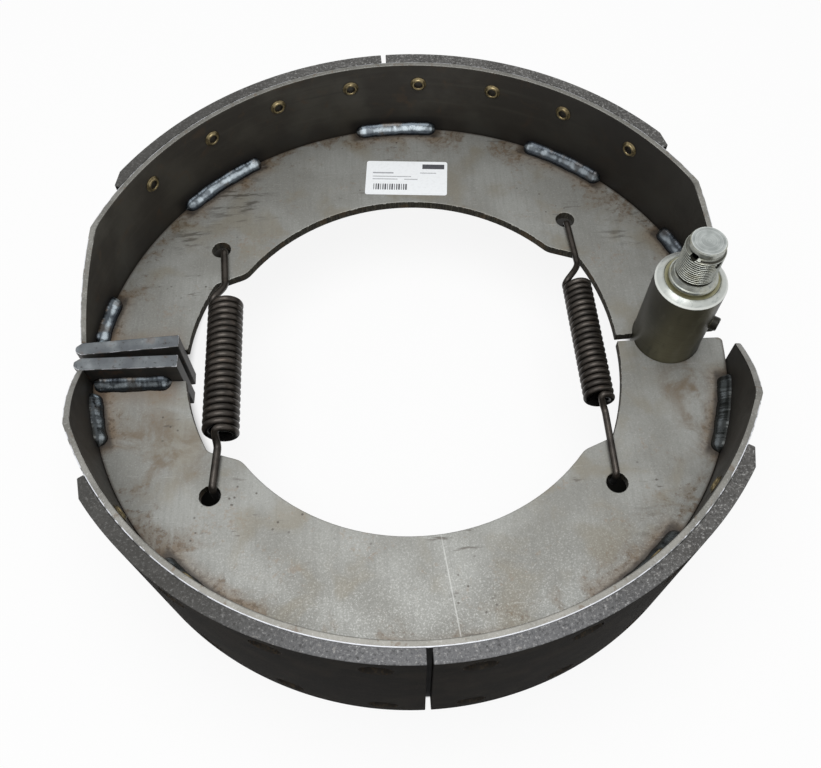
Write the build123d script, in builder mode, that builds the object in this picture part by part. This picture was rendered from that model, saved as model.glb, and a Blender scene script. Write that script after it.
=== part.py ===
from build123d import *
from math import asin, cos, degrees, radians, sin, sqrt
import os

# Drum size, which the turned linings follow
DRUM_RADIUS = 200.0
SHOE_WIDTH = 120.0
LINING_THICKNESS = 7.5
RIM_THICKNESS = 3.5
WEB_THICKNESS = 6.0

# Clearances
LINING_SEAT = 0.1
WEB_FIT_UP = 0.15
WELD_FIT_UP = 0.05
PIN_CLEARANCE = 0.1
RIVET_CLEARANCE = 0.1
ROLL_CLEARANCE = 0.1
HOOK_CLEARANCE = 0.3
NIPPLE_CLEARANCE = 0.1

# Anchor end: both shoes swing on this pin and rest a little closed on it
PIN_INSET = 33.42
PAD_REST_GAP = 1.088
SLOT_HALF = 3.0

# Rim: angles are counted from the anchor pin, round to the cam end, and both ends taper
RIM_START = 5.4
ANCHOR_TAPER = 53.06
CAM_TAPER = 54.21

# Linings, two on each shoe, with their toe and heel bevelled
LINING_START = 31.16
LINING_END = 147.87
LINING_SPLIT = 89.38
LINING_GAP = 3.0
BEVEL_DEPTH = 4.0
BEVEL_ANGLE = 3.0

# Tubular rivets in two rows
RIVET_ANGLES_PIN_SIDE = (37.4, 52.7, 67.7, 82.7)
RIVET_ANGLES_CAM_SIDE = (96.4, 111.5, 126.3, 141.6)
RIVET_EDGE_DISTANCE = 15.0
RIVET_RADIUS = 4.0
RIVET_BORE_RADIUS = 2.6
RIVET_BORE_DEPTH = 4.0
RIVET_BORE_TAPER = 15.0
RIVET_HEAD_RADIUS = 7.8
RIVET_HEAD_THICKNESS = 1.2
RIVET_ROLL_RADIUS = 5.2
RIVET_ROLL_HEIGHT = 1.6
COUNTERBORE_RADIUS = 8.3
COUNTERBORE_DEPTH = 4.0

# Web outline, with depths measured in from the web's round edge
WEB_DEPTH = 67.45
BORE_START = 37.7
BORE_END = 143.2
HORN_DEPTH = 54.55
HORN_START = 150.4
SHOULDER_DEPTH = 57.48
SHOULDER_ANGLE = 30.664
ANCHOR_HORN_LENGTH = 9.98
ANCHOR_HORN_BOW = 3.78
BORE_CORNER = 12.0
SHOULDER_CORNER = 5.5
SLOT_CORNER = 3.0

# Spring holes in the webs
SPRING_HOLE_RADIUS = 6.0
PIN_SIDE_HOLE_DEPTH = 42.45
PIN_SIDE_HOLE_ANGLE = 40.5
CAM_SIDE_HOLE_DEPTH = 41.85
CAM_SIDE_HOLE_ANGLE = 140.5

# Cam pads
PAD_LENGTH = 59.8
PAD_THICKNESS = 8.0
PAD_WIDTH = 45.0
PAD_FACE = 11.3
PAD_OVERHANG = 1.7
PAD_CHAMFER_LENGTH = 3.5
PAD_CHAMFER_DEPTH = 2.5
PAD_CORNER_CUT = (6.0, 4.0, 8.5)

# Welds
WELD_LEG = 5.0
RIM_WELDS = ((9.2, 25.0), (41.8, 59.7), (79.0, 96.0), (117.6, 136.5))
LAST_WELD_START = 161.1
LAST_WELD_GAP = 2.32
PAD_WELD_SETBACK = 2.2
PAD_WELD_SHORT = 6.6

# Anchor pin
PIN_RADIUS = 20.0
PIN_BELOW_WEB = 3.0
PIN_BODY_ABOVE_WEB = 55.1
PIN_CONE_LENGTH = 3.0
PIN_CONE_RADIUS = 15.1
COLLAR_RADIUS = 13.5
COLLAR_LENGTH = 2.6
THREAD_RADIUS = 11.0
THREAD_RUNOUT = 2.8
THREAD_LENGTH = 19.9
GROOVE_RADIUS = 9.3
GROOVE_TAPER = 0.8
GROOVE_LENGTH = 2.2
PIN_END_RADIUS = 9.7
PIN_END_LENGTH = 3.0
PIN_CHAMFER = 1.0
CROSS_HOLE_RADIUS = 2.2
UPPER_CROSS_HOLE_DROP = 5.0
UPPER_CROSS_HOLE_AZIMUTH = -142.0
LOWER_CROSS_HOLE_DROP = 9.2
LOWER_CROSS_HOLE_AZIMUTH = -60.0

# Flats that stand for the round of small repeated shapes
RIVET_SIDES = 8
SHANK_SIDES = 4
NIPPLE_SIDES = 12
SPRING_SIDES = 10
WIRE_SIDES = 6

# Grease nipple screwed into the side of the pin
NIPPLE_RADIUS = 4.0
NIPPLE_STANDS = 4.0
NIPPLE_SUNK = 7.0
NIPPLE_AZIMUTH = -35.0
NIPPLE_ABOVE_WEB = 29.0

# Return springs: a lead is the way from a hole to the coil, a knee is where the lead wire bends
CAM_SPRING_WIRE = 4.5
CAM_SPRING_OUTER = 21.5
CAM_SPRING_ASIDE = 5.05
CAM_SPRING_UPPER_LEAD = 41.61
CAM_SPRING_LOWER_LEAD = 34.11
CAM_UPPER_KNEE = (3.85, 28.6)
CAM_LOWER_KNEE = (3.65, 26.6)
PIN_SPRING_WIRE = 4.0
PIN_SPRING_OUTER = 18.0
PIN_SPRING_ASIDE = -1.57
PIN_SPRING_UPPER_LEAD = 51.75
PIN_SPRING_LOWER_LEAD = 48.75
PIN_UPPER_KNEE = (1.53, 37.05)
PIN_LOWER_KNEE = (0.43, 41.75)
HOOK_DROP = 0.5
HOOK_TAIL = 9.0

# Paper label
LABEL_SIZE = (55.0, 30.0)
LABEL_THICKNESS = 0.2
LABEL_DEPTH = 46.3
LABEL_ANGLE = 85.453
LABEL_TURN = -7.3

# Worked out from the sizes above
RIM_RADIUS = DRUM_RADIUS - LINING_THICKNESS
RIM_INNER = RIM_RADIUS - RIM_THICKNESS
LINING_INNER = RIM_RADIUS + LINING_SEAT
WEB_RADIUS = RIM_INNER - WEB_FIT_UP
WEB_BORE_RADIUS = WEB_RADIUS - WEB_DEPTH
HORN_RADIUS = WEB_RADIUS - HORN_DEPTH
PIN_DISTANCE = RIM_INNER - PIN_INSET
WEB_BOTTOM = SHOE_WIDTH / 2
WEB_TOP = WEB_BOTTOM + WEB_THICKNESS
PAD_TOP = PAD_FACE + PAD_THICKNESS
PAD_TIP = RIM_RADIUS + PAD_OVERHANG
PAD_INNER_END = PAD_TIP - PAD_LENGTH
CLOSING = degrees(asin((PAD_FACE - PAD_REST_GAP) / (PIN_DISTANCE + PAD_TIP)))
PAD_BOTTOM_HEIGHT = (SHOE_WIDTH - PAD_WIDTH) / 2
PAD_TOP_HEIGHT = PAD_BOTTOM_HEIGHT + PAD_WIDTH
NOTCH_RADIUS = PIN_RADIUS + PIN_CLEARANCE
ANCHOR_HORN_X = PIN_DISTANCE - NOTCH_RADIUS - ANCHOR_HORN_LENGTH
PIN_BODY_TOP = WEB_TOP + PIN_BODY_ABOVE_WEB
PIN_CONE_TOP = PIN_BODY_TOP + PIN_CONE_LENGTH
COLLAR_TOP = PIN_CONE_TOP + COLLAR_LENGTH
THREAD_START = COLLAR_TOP + THREAD_RUNOUT
THREAD_END = THREAD_START + THREAD_LENGTH
GROOVE_TOP = THREAD_END + GROOVE_LENGTH
PIN_TOP = GROOVE_TOP + PIN_END_LENGTH
NIPPLE_SEAT = PIN_RADIUS - NIPPLE_SUNK
NIPPLE_HEIGHT = WEB_TOP + NIPPLE_ABOVE_WEB
HALF_GAP_ANGLE = degrees(LINING_GAP / 2 / RIM_RADIUS)
RIVET_ROWS = (RIVET_EDGE_DISTANCE, SHOE_WIDTH - RIVET_EDGE_DISTANCE)
ALL_RIVET_ANGLES = RIVET_ANGLES_PIN_SIDE + RIVET_ANGLES_CAM_SIDE
SHOE_X = (cos(radians(CLOSING)), sin(radians(CLOSING)), 0)
SHOE_Y = (-sin(radians(CLOSING)), cos(radians(CLOSING)), 0)
SHOE_ORIGIN_X = PIN_DISTANCE * (1 - cos(radians(CLOSING)))
SHOE_ORIGIN_Y = -PIN_DISTANCE * sin(radians(CLOSING))


def polar(radius, angle):
    return (radius * cos(radians(angle)), radius * sin(radians(angle)))


def at_height(radius, y):
    return (sqrt(radius ** 2 - y ** 2), y)


def shoe_plane(height):
    return Plane(origin=(SHOE_ORIGIN_X, SHOE_ORIGIN_Y, height), x_dir=SHOE_X, z_dir=(0, 0, 1))


def shoe_place(radius, angle, height):
    """A place on the upper shoe whose Z points straight out from the drum axis."""
    x, y = polar(radius, angle + CLOSING)
    out = (*polar(1, angle + CLOSING), 0)
    return Plane(origin=(SHOE_ORIGIN_X + x, SHOE_ORIGIN_Y + y, height), x_dir=(0, 0, 1), z_dir=out)


def shoe_side():
    """The upper shoe seen along its own X: sketch X is the shoe's Y, sketch Y is the height."""
    return Plane(origin=(SHOE_ORIGIN_X, SHOE_ORIGIN_Y, 0), x_dir=SHOE_Y, z_dir=SHOE_X)


def shoe_section(angle):
    """A plane through the shoe's axis at an angle: sketch X is the radius, sketch Y the height."""
    out = (*polar(1, angle + CLOSING), 0)
    across = (sin(radians(angle + CLOSING)), -cos(radians(angle + CLOSING)), 0)
    return Plane(origin=(SHOE_ORIGIN_X, SHOE_ORIGIN_Y, 0), x_dir=out, z_dir=across)


def band(inner, outer, start, end):
    """A ring segment between two radii and two angles."""
    middle = (start + end) / 2
    with BuildSketch() as face:
        with BuildLine():
            Line(polar(inner, start), polar(outer, start))
            ThreePointArc(polar(outer, start), polar(outer, middle), polar(outer, end))
            Line(polar(outer, end), polar(inner, end))
            ThreePointArc(polar(inner, end), polar(inner, middle), polar(inner, start))
        make_face()
    return face.sketch


def end_bevel(angle, turn):
    """The corner cut off a lining's toe or heel, turn being the way into the lining."""
    past = 2.0
    with BuildSketch() as face:
        with BuildLine():
            low = polar(DRUM_RADIUS - BEVEL_DEPTH, angle)
            high = polar(DRUM_RADIUS, angle + turn * BEVEL_ANGLE)
            over = polar(DRUM_RADIUS + past, angle + turn * BEVEL_ANGLE)
            corner = polar(DRUM_RADIUS + past, angle - turn)
            Polyline(low, high, over, corner, polar(DRUM_RADIUS - BEVEL_DEPTH, angle - turn), close=True)
        make_face()
    return face.sketch


def rivet_places(angles, radius):
    return [shoe_place(radius, angle, row) for angle in angles for row in RIVET_ROWS]


def rivet_hole(radius, depth, sides):
    """A hole for a rivet, centred on its place and with as many flats as the rivet."""
    with BuildPart() as hole:
        with BuildSketch(Plane.XY.offset(-depth)):
            RegularPolygon(radius, sides, rotation=180 / sides)
        extrude(amount=2 * depth)
    return hole.part


# Webs: flat plates, with a half-round notch at the anchor end
with BuildPart() as upper_web:
    with BuildSketch(shoe_plane(WEB_BOTTOM)) as web_outline:
        slot_end = at_height(WEB_RADIUS, SLOT_HALF)
        pad_outer = (-at_height(WEB_RADIUS, PAD_TOP)[0], PAD_TOP)
        pad_inner = (-at_height(HORN_RADIUS, PAD_TOP)[0], PAD_TOP)
        horn_middle = polar(HORN_RADIUS, (HORN_START + 171.7) / 2)
        anchor_corner = polar(WEB_RADIUS - SHOULDER_DEPTH, SHOULDER_ANGLE)
        slot_start = (ANCHOR_HORN_X, SLOT_HALF)
        horn_bow_x = (anchor_corner[0] + ANCHOR_HORN_X) / 2 + ANCHOR_HORN_BOW
        horn_bow_y = (anchor_corner[1] + SLOT_HALF) / 2
        notch_half = sqrt(NOTCH_RADIUS ** 2 - SLOT_HALF ** 2)
        with BuildLine():
            ThreePointArc(slot_end, polar(WEB_RADIUS, 90), pad_outer)
            Line(pad_outer, pad_inner)
            ThreePointArc(pad_inner, horn_middle, polar(HORN_RADIUS, HORN_START))
            Line(polar(HORN_RADIUS, HORN_START), polar(WEB_BORE_RADIUS, BORE_END))
            ThreePointArc(polar(WEB_BORE_RADIUS, BORE_END), (0, WEB_BORE_RADIUS), polar(WEB_BORE_RADIUS, BORE_START))
            Line(polar(WEB_BORE_RADIUS, BORE_START), anchor_corner)
            ThreePointArc(anchor_corner, (horn_bow_x, horn_bow_y), slot_start)
            Line(slot_start, (PIN_DISTANCE - notch_half, SLOT_HALF))
            ThreePointArc(
                (PIN_DISTANCE - notch_half, SLOT_HALF),
                (PIN_DISTANCE, NOTCH_RADIUS),
                (PIN_DISTANCE + notch_half, SLOT_HALF),
            )
            Line((PIN_DISTANCE + notch_half, SLOT_HALF), slot_end)
        make_face()
        for corner, size in (
            (polar(WEB_BORE_RADIUS, BORE_END), BORE_CORNER),
            (polar(WEB_BORE_RADIUS, BORE_START), BORE_CORNER),
            (polar(HORN_RADIUS, HORN_START), SHOULDER_CORNER),
            (anchor_corner, SHOULDER_CORNER),
            (slot_end, SLOT_CORNER),
        ):
            fillet(web_outline.vertices().sort_by_distance(shoe_plane(WEB_BOTTOM).from_local_coords(corner))[0], size)
        pin_side_hole = polar(WEB_RADIUS - PIN_SIDE_HOLE_DEPTH, PIN_SIDE_HOLE_ANGLE)
        cam_side_hole = polar(WEB_RADIUS - CAM_SIDE_HOLE_DEPTH, CAM_SIDE_HOLE_ANGLE)
        with Locations(pin_side_hole, cam_side_hole):
            Circle(SPRING_HOLE_RADIUS, mode=Mode.SUBTRACT)
    extrude(amount=WEB_THICKNESS)

# Rims: rolled plates, tapered at both ends
with BuildPart() as upper_rim:
    with BuildSketch(shoe_plane(0)):
        add(band(RIM_INNER, RIM_RADIUS, RIM_START, 180))
        with Locations((-RIM_RADIUS, 0)):
            Rectangle(4 * RIM_THICKNESS, 2 * PAD_TOP, mode=Mode.SUBTRACT)
    extrude(amount=SHOE_WIDTH)
    with BuildSketch(shoe_side()):
        taper_end = RIM_RADIUS * sin(radians(RIM_START))
        taper_start = taper_end + ANCHOR_TAPER
        with BuildLine():
            Polyline((taper_start, SHOE_WIDTH), (taper_end, PAD_TOP_HEIGHT), (0, PAD_TOP_HEIGHT), (0, SHOE_WIDTH), close=True)
        make_face()
        with BuildLine():
            Polyline((taper_start, 0), (taper_end, PAD_BOTTOM_HEIGHT), (0, PAD_BOTTOM_HEIGHT), (0, 0), close=True)
        make_face()
    extrude(amount=DRUM_RADIUS, mode=Mode.SUBTRACT)
    with BuildSketch(shoe_side()):
        cam_taper_start = PAD_TOP + CAM_TAPER
        with BuildLine():
            Polyline((cam_taper_start, SHOE_WIDTH), (PAD_TOP, PAD_TOP_HEIGHT), (0, PAD_TOP_HEIGHT), (0, SHOE_WIDTH), close=True)
        make_face()
        with BuildLine():
            Polyline((cam_taper_start, 0), (PAD_TOP, PAD_BOTTOM_HEIGHT), (0, PAD_BOTTOM_HEIGHT), (0, 0), close=True)
        make_face()
    extrude(amount=-DRUM_RADIUS, mode=Mode.SUBTRACT)
    with Locations(*rivet_places(ALL_RIVET_ANGLES, RIM_INNER)):
        add(rivet_hole(RIVET_RADIUS + RIVET_CLEARANCE, 2 * RIM_THICKNESS, SHANK_SIDES), mode=Mode.SUBTRACT)

# Linings: two segments on each shoe, drilled and counterbored from outside
with BuildPart() as upper_pin_lining:
    with BuildSketch(shoe_plane(0)):
        add(band(LINING_INNER, DRUM_RADIUS, LINING_START, LINING_SPLIT - HALF_GAP_ANGLE))
        add(end_bevel(LINING_START, 1), mode=Mode.SUBTRACT)
    extrude(amount=SHOE_WIDTH)
    with Locations(*rivet_places(RIVET_ANGLES_PIN_SIDE, DRUM_RADIUS)):
        add(rivet_hole(RIVET_RADIUS + RIVET_CLEARANCE, 2 * LINING_THICKNESS, SHANK_SIDES), mode=Mode.SUBTRACT)
        add(rivet_hole(COUNTERBORE_RADIUS, COUNTERBORE_DEPTH, RIVET_SIDES), mode=Mode.SUBTRACT)

with BuildPart() as upper_cam_lining:
    with BuildSketch(shoe_plane(0)):
        add(band(LINING_INNER, DRUM_RADIUS, LINING_SPLIT + HALF_GAP_ANGLE, LINING_END))
        add(end_bevel(LINING_END, -1), mode=Mode.SUBTRACT)
    extrude(amount=SHOE_WIDTH)
    with Locations(*rivet_places(RIVET_ANGLES_CAM_SIDE, DRUM_RADIUS)):
        add(rivet_hole(RIVET_RADIUS + RIVET_CLEARANCE, 2 * LINING_THICKNESS, SHANK_SIDES), mode=Mode.SUBTRACT)
        add(rivet_hole(COUNTERBORE_RADIUS, COUNTERBORE_DEPTH, RIVET_SIDES), mode=Mode.SUBTRACT)

# Rivets: head sunk in the lining, hollow end rolled over on the rim's inner wall
head_seat = DRUM_RADIUS - COUNTERBORE_DEPTH - RIM_INNER
with BuildPart() as rivet:
    with BuildSketch(Plane.XY.offset(head_seat)):
        RegularPolygon(RIVET_HEAD_RADIUS, RIVET_SIDES, rotation=180 / RIVET_SIDES)
    extrude(amount=RIVET_HEAD_THICKNESS)
    with BuildSketch(Plane.XY.offset(-ROLL_CLEARANCE)):
        RegularPolygon(RIVET_RADIUS, SHANK_SIDES, rotation=180 / SHANK_SIDES)
    extrude(amount=head_seat + ROLL_CLEARANCE)
    with BuildSketch(Plane.XY.offset(-ROLL_CLEARANCE)):
        RegularPolygon(RIVET_ROLL_RADIUS, RIVET_SIDES, rotation=180 / RIVET_SIDES)
    extrude(amount=-RIVET_ROLL_HEIGHT)
    with BuildSketch(Plane.XY.offset(-ROLL_CLEARANCE - RIVET_ROLL_HEIGHT)) as bore_mouth:
        RegularPolygon(RIVET_BORE_RADIUS, RIVET_SIDES, rotation=180 / RIVET_SIDES)
    extrude(amount=RIVET_BORE_DEPTH, taper=RIVET_BORE_TAPER, mode=Mode.SUBTRACT)

with BuildPart() as upper_rivets:
    with Locations(*rivet_places(ALL_RIVET_ANGLES, RIM_INNER)):
        add(rivet.part)

# Cam pads: flat bars that the brake cam pushes on
with BuildPart() as upper_cam_pad:
    with BuildSketch(shoe_plane(PAD_BOTTOM_HEIGHT)):
        with BuildLine():
            Polyline(
                (-PAD_INNER_END, PAD_FACE),
                (-PAD_INNER_END, PAD_TOP),
                (-PAD_TIP + PAD_CHAMFER_LENGTH, PAD_TOP),
                (-PAD_TIP, PAD_TOP - PAD_CHAMFER_DEPTH),
                (-PAD_TIP, PAD_FACE + PAD_CHAMFER_DEPTH),
                (-PAD_TIP + PAD_CHAMFER_LENGTH, PAD_FACE),
                close=True,
            )
        make_face()
    extrude(amount=PAD_WIDTH)
    cut_x, cut_y, cut_z = PAD_CORNER_CUT
    corner_place = shoe_plane(PAD_BOTTOM_HEIGHT).from_local_coords((-PAD_TIP, PAD_TOP, cut_z))
    corner_normal = Vector(*SHOE_X) * (-1 / cut_x) + Vector(*SHOE_Y) * (1 / cut_y) + Vector(0, 0, -1 / cut_z)
    split(bisect_by=Plane(origin=corner_place, z_dir=corner_normal), keep=Keep.BOTTOM)

# Welds between rim and web, above and below the web
with BuildPart() as upper_rim_welds:
    weld_radius = RIM_INNER - WELD_FIT_UP
    last_weld_end = 180 - degrees(asin((PAD_TOP + WELD_LEG + LAST_WELD_GAP) / weld_radius))
    for start, end in (*RIM_WELDS, (LAST_WELD_START, last_weld_end)):
        for face_height, up in ((WEB_TOP, 1), (WEB_BOTTOM, -1)):
            with BuildSketch(shoe_section(start)):
                with BuildLine():
                    Polyline(
                        (weld_radius - WELD_LEG, face_height),
                        (weld_radius, face_height),
                        (weld_radius, face_height + up * WELD_LEG),
                        close=True,
                    )
                make_face()
            revolve(axis=Axis((SHOE_ORIGIN_X, SHOE_ORIGIN_Y, 0), (0, 0, 1)), revolution_arc=end - start)

# Welds between cam pad and web
with BuildPart() as upper_pad_welds:
    pad_weld_start = RIM_INNER - PAD_WELD_SETBACK
    with BuildSketch(shoe_side().offset(-pad_weld_start)):
        for face_height, up in ((WEB_TOP, 1), (WEB_BOTTOM, -1)):
            with BuildLine():
                Polyline(
                    (PAD_TOP, face_height),
                    (PAD_TOP + WELD_LEG, face_height),
                    (PAD_TOP, face_height + up * WELD_LEG),
                    close=True,
                )
            make_face()
    extrude(amount=pad_weld_start - PAD_INNER_END - PAD_WELD_SHORT)

# Anchor pin: turned bar with a threaded stud end and two split-pin holes
with BuildPart() as anchor_pin:
    with BuildSketch(Plane.XZ):
        with BuildLine():
            Polyline(
                (0, WEB_BOTTOM - PIN_BELOW_WEB),
                (PIN_RADIUS, WEB_BOTTOM - PIN_BELOW_WEB),
                (PIN_RADIUS, PIN_BODY_TOP),
                (PIN_CONE_RADIUS, PIN_CONE_TOP),
                (COLLAR_RADIUS, PIN_CONE_TOP),
                (COLLAR_RADIUS, COLLAR_TOP),
                (THREAD_RADIUS, THREAD_START),
                (THREAD_RADIUS, THREAD_END),
                (GROOVE_RADIUS, THREAD_END + GROOVE_TAPER),
                (GROOVE_RADIUS, GROOVE_TOP),
                (PIN_END_RADIUS, GROOVE_TOP),
                (PIN_END_RADIUS, PIN_TOP - PIN_CHAMFER),
                (PIN_END_RADIUS - PIN_CHAMFER, PIN_TOP),
                (0, PIN_TOP),
                close=True,
            )
        make_face()
    revolve(axis=Axis.Z)
    for azimuth, drop in (
        (UPPER_CROSS_HOLE_AZIMUTH, UPPER_CROSS_HOLE_DROP),
        (LOWER_CROSS_HOLE_AZIMUTH, LOWER_CROSS_HOLE_DROP),
    ):
        across = (*polar(1, azimuth), 0)
        with BuildSketch(Plane(origin=(0, 0, PIN_TOP - drop), z_dir=across)):
            RegularPolygon(CROSS_HOLE_RADIUS, RIVET_SIDES, rotation=180 / RIVET_SIDES)
        extrude(amount=2 * THREAD_RADIUS, both=True, mode=Mode.SUBTRACT)
    nipple_out = (*polar(1, NIPPLE_AZIMUTH), 0)
    nipple_seat = (*polar(NIPPLE_SEAT, NIPPLE_AZIMUTH), NIPPLE_HEIGHT)
    with BuildSketch(Plane(origin=nipple_seat, x_dir=(0, 0, 1), z_dir=nipple_out)):
        RegularPolygon(NIPPLE_RADIUS + NIPPLE_CLEARANCE, NIPPLE_SIDES)
    extrude(amount=PIN_RADIUS, mode=Mode.SUBTRACT)
anchor_pin.part = anchor_pin.part.moved(Location((PIN_DISTANCE, 0, 0)))

with BuildPart() as grease_nipple:
    seat_x, seat_y, seat_z = nipple_seat
    with BuildSketch(Plane(origin=(PIN_DISTANCE + seat_x, seat_y, seat_z), x_dir=(0, 0, 1), z_dir=nipple_out)):
        RegularPolygon(NIPPLE_RADIUS, NIPPLE_SIDES)
    extrude(amount=NIPPLE_SUNK + NIPPLE_STANDS)

# Return springs: close-wound coils with a straight hook at each end
hook_offset = SPRING_HOLE_RADIUS - HOOK_CLEARANCE


def coil_plane(x, height, y):
    """A plane across a coil that lies along Y."""
    return Plane(origin=(x, y, height), x_dir=(1, 0, 0), z_dir=(0, 1, 0))


def spring_coil(x, height, top, bottom, wire, outer):
    """A close-wound coil along Y as a ridged tube, one ridge for each turn."""
    turns = round((top - bottom) / wire)
    pitch = (top - bottom) / turns
    outer_radius = outer / 2
    valley = outer_radius - wire * 0.3
    with BuildPart() as coil:
        for turn in range(2 * turns + 1):
            with BuildSketch(coil_plane(x, height, bottom + turn * pitch / 2)):
                RegularPolygon(outer_radius if turn % 2 else valley, SPRING_SIDES)
        loft(ruled=True)
        with BuildSketch(coil_plane(x, height, bottom)):
            RegularPolygon(outer_radius - wire, SPRING_SIDES)
        extrude(amount=top - bottom, mode=Mode.SUBTRACT)
    return coil.part


def web_hole(place):
    """Centre of a spring hole in the upper web, in the frame of the whole brake."""
    centre = shoe_plane(0).from_local_coords((*place, 0))
    return centre.X, centre.Y


def hooked_end(hole, lean, knee, coil_end, wire, side):
    """A spring's end wire: from its coil, over the web and down through the hole it is hooked in."""
    height = WEB_TOP + wire / 2 + HOOK_CLEARANCE
    lift = coil_end[2]
    reach = hook_offset - wire / 2
    wire_x = hole[0] + reach * lean[0]
    wire_y = hole[1] + reach * lean[1]
    below = WEB_BOTTOM - wire / 2 - HOOK_CLEARANCE - HOOK_DROP
    points = (
        (coil_end[0], side * coil_end[1], height + lift),
        (hole[0] + knee[0], side * (hole[1] - knee[1]), height),
        (wire_x, side * wire_y, height),
        (wire_x, side * wire_y, below),
        (wire_x, side * (wire_y - HOOK_TAIL), below),
    )
    with BuildPart() as hook:
        with BuildLine() as run:
            Polyline(*points)
        with BuildSketch(Plane(origin=run.line @ 0, z_dir=run.line % 0)):
            RegularPolygon(wire / 2, WIRE_SIDES)
        sweep(path=run.line, transition=Transition.RIGHT)
    return hook.part


cam_hole = web_hole(cam_side_hole)
pin_hole = web_hole(pin_side_hole)
coil_height = WEB_TOP + CAM_SPRING_WIRE / 2 + HOOK_CLEARANCE
with BuildPart() as left_return_spring:
    wire = CAM_SPRING_WIRE
    coil_x = cam_hole[0] + CAM_SPRING_ASIDE
    coil_top = cam_hole[1] - CAM_SPRING_UPPER_LEAD
    coil_bottom = cam_hole[1] - CAM_SPRING_LOWER_LEAD
    coil_mean = (CAM_SPRING_OUTER - wire) / 2
    side_start = (coil_x - coil_mean, coil_top - wire / 4, 0)
    top_start = (coil_x, coil_bottom - wire / 3, coil_mean)
    add(spring_coil(coil_x, coil_height, coil_top, -coil_bottom, wire, CAM_SPRING_OUTER))
    add(hooked_end(cam_hole, (0.7, -0.71), CAM_UPPER_KNEE, side_start, wire, 1))
    add(hooked_end(cam_hole, (0.5, -0.86), CAM_LOWER_KNEE, top_start, wire, -1))

with BuildPart() as right_return_spring:
    wire = PIN_SPRING_WIRE
    coil_x = pin_hole[0] + PIN_SPRING_ASIDE
    coil_top = pin_hole[1] - PIN_SPRING_UPPER_LEAD
    coil_bottom = pin_hole[1] - PIN_SPRING_LOWER_LEAD
    coil_mean = (PIN_SPRING_OUTER - wire) / 2
    side_start = (coil_x - coil_mean, coil_top - wire / 4, 0)
    top_start = (coil_x, coil_bottom - wire / 3, coil_mean)
    add(spring_coil(coil_x, coil_height, coil_top, -coil_bottom, wire, PIN_SPRING_OUTER))
    add(hooked_end(pin_hole, (0.03, -1), PIN_UPPER_KNEE, side_start, wire, 1))
    add(hooked_end(pin_hole, (-0.05, -1), PIN_LOWER_KNEE, top_start, wire, -1))

# Paper label on the upper web
with BuildPart() as paper_label:
    with BuildSketch(shoe_plane(WEB_TOP)):
        with Locations(Location(polar(WEB_RADIUS - LABEL_DEPTH, LABEL_ANGLE), LABEL_TURN)):
            Rectangle(*LABEL_SIZE)
    extrude(amount=LABEL_THICKNESS)

# Lower shoe: the same shoe turned over the line from pin to cam
with BuildPart() as lower_web:
    mirror(upper_web.part, about=Plane.XZ)
with BuildPart() as lower_rim:
    mirror(upper_rim.part, about=Plane.XZ)
with BuildPart() as lower_pin_lining:
    mirror(upper_pin_lining.part, about=Plane.XZ)
with BuildPart() as lower_cam_lining:
    mirror(upper_cam_lining.part, about=Plane.XZ)
with BuildPart() as lower_rivets:
    mirror(upper_rivets.part, about=Plane.XZ)
with BuildPart() as lower_cam_pad:
    mirror(upper_cam_pad.part, about=Plane.XZ)
with BuildPart() as lower_rim_welds:
    mirror(upper_rim_welds.part, about=Plane.XZ)
with BuildPart() as lower_pad_welds:
    mirror(upper_pad_welds.part, about=Plane.XZ)

os.makedirs("parts", exist_ok=True)
upper_web.part.label = "upper_web"
export_step(upper_web.part, "parts/upper_web.step")
upper_rim.part.label = "upper_rim"
export_step(upper_rim.part, "parts/upper_rim.step")
upper_pin_lining.part.label = "upper_pin_lining"
export_step(upper_pin_lining.part, "parts/upper_pin_lining.step")
upper_cam_lining.part.label = "upper_cam_lining"
export_step(upper_cam_lining.part, "parts/upper_cam_lining.step")
upper_rivets.part.label = "upper_rivets"
export_step(upper_rivets.part, "parts/upper_rivets.step")
upper_cam_pad.part.label = "upper_cam_pad"
export_step(upper_cam_pad.part, "parts/upper_cam_pad.step")
upper_rim_welds.part.label = "upper_rim_welds"
export_step(upper_rim_welds.part, "parts/upper_rim_welds.step")
upper_pad_welds.part.label = "upper_pad_welds"
export_step(upper_pad_welds.part, "parts/upper_pad_welds.step")
lower_web.part.label = "lower_web"
export_step(lower_web.part, "parts/lower_web.step")
lower_rim.part.label = "lower_rim"
export_step(lower_rim.part, "parts/lower_rim.step")
lower_pin_lining.part.label = "lower_pin_lining"
export_step(lower_pin_lining.part, "parts/lower_pin_lining.step")
lower_cam_lining.part.label = "lower_cam_lining"
export_step(lower_cam_lining.part, "parts/lower_cam_lining.step")
lower_rivets.part.label = "lower_rivets"
export_step(lower_rivets.part, "parts/lower_rivets.step")
lower_cam_pad.part.label = "lower_cam_pad"
export_step(lower_cam_pad.part, "parts/lower_cam_pad.step")
lower_rim_welds.part.label = "lower_rim_welds"
export_step(lower_rim_welds.part, "parts/lower_rim_welds.step")
lower_pad_welds.part.label = "lower_pad_welds"
export_step(lower_pad_welds.part, "parts/lower_pad_welds.step")
anchor_pin.part.label = "anchor_pin"
export_step(anchor_pin.part, "parts/anchor_pin.step")
grease_nipple.part.label = "grease_nipple"
export_step(grease_nipple.part, "parts/grease_nipple.step")
left_return_spring.part.label = "left_return_spring"
export_step(left_return_spring.part, "parts/left_return_spring.step")
right_return_spring.part.label = "right_return_spring"
export_step(right_return_spring.part, "parts/right_return_spring.step")
paper_label.part.label = "paper_label"
export_step(paper_label.part, "parts/paper_label.step")
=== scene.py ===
from functools import cache
from math import cos, degrees, pi, radians, sin, sqrt, tau

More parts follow.
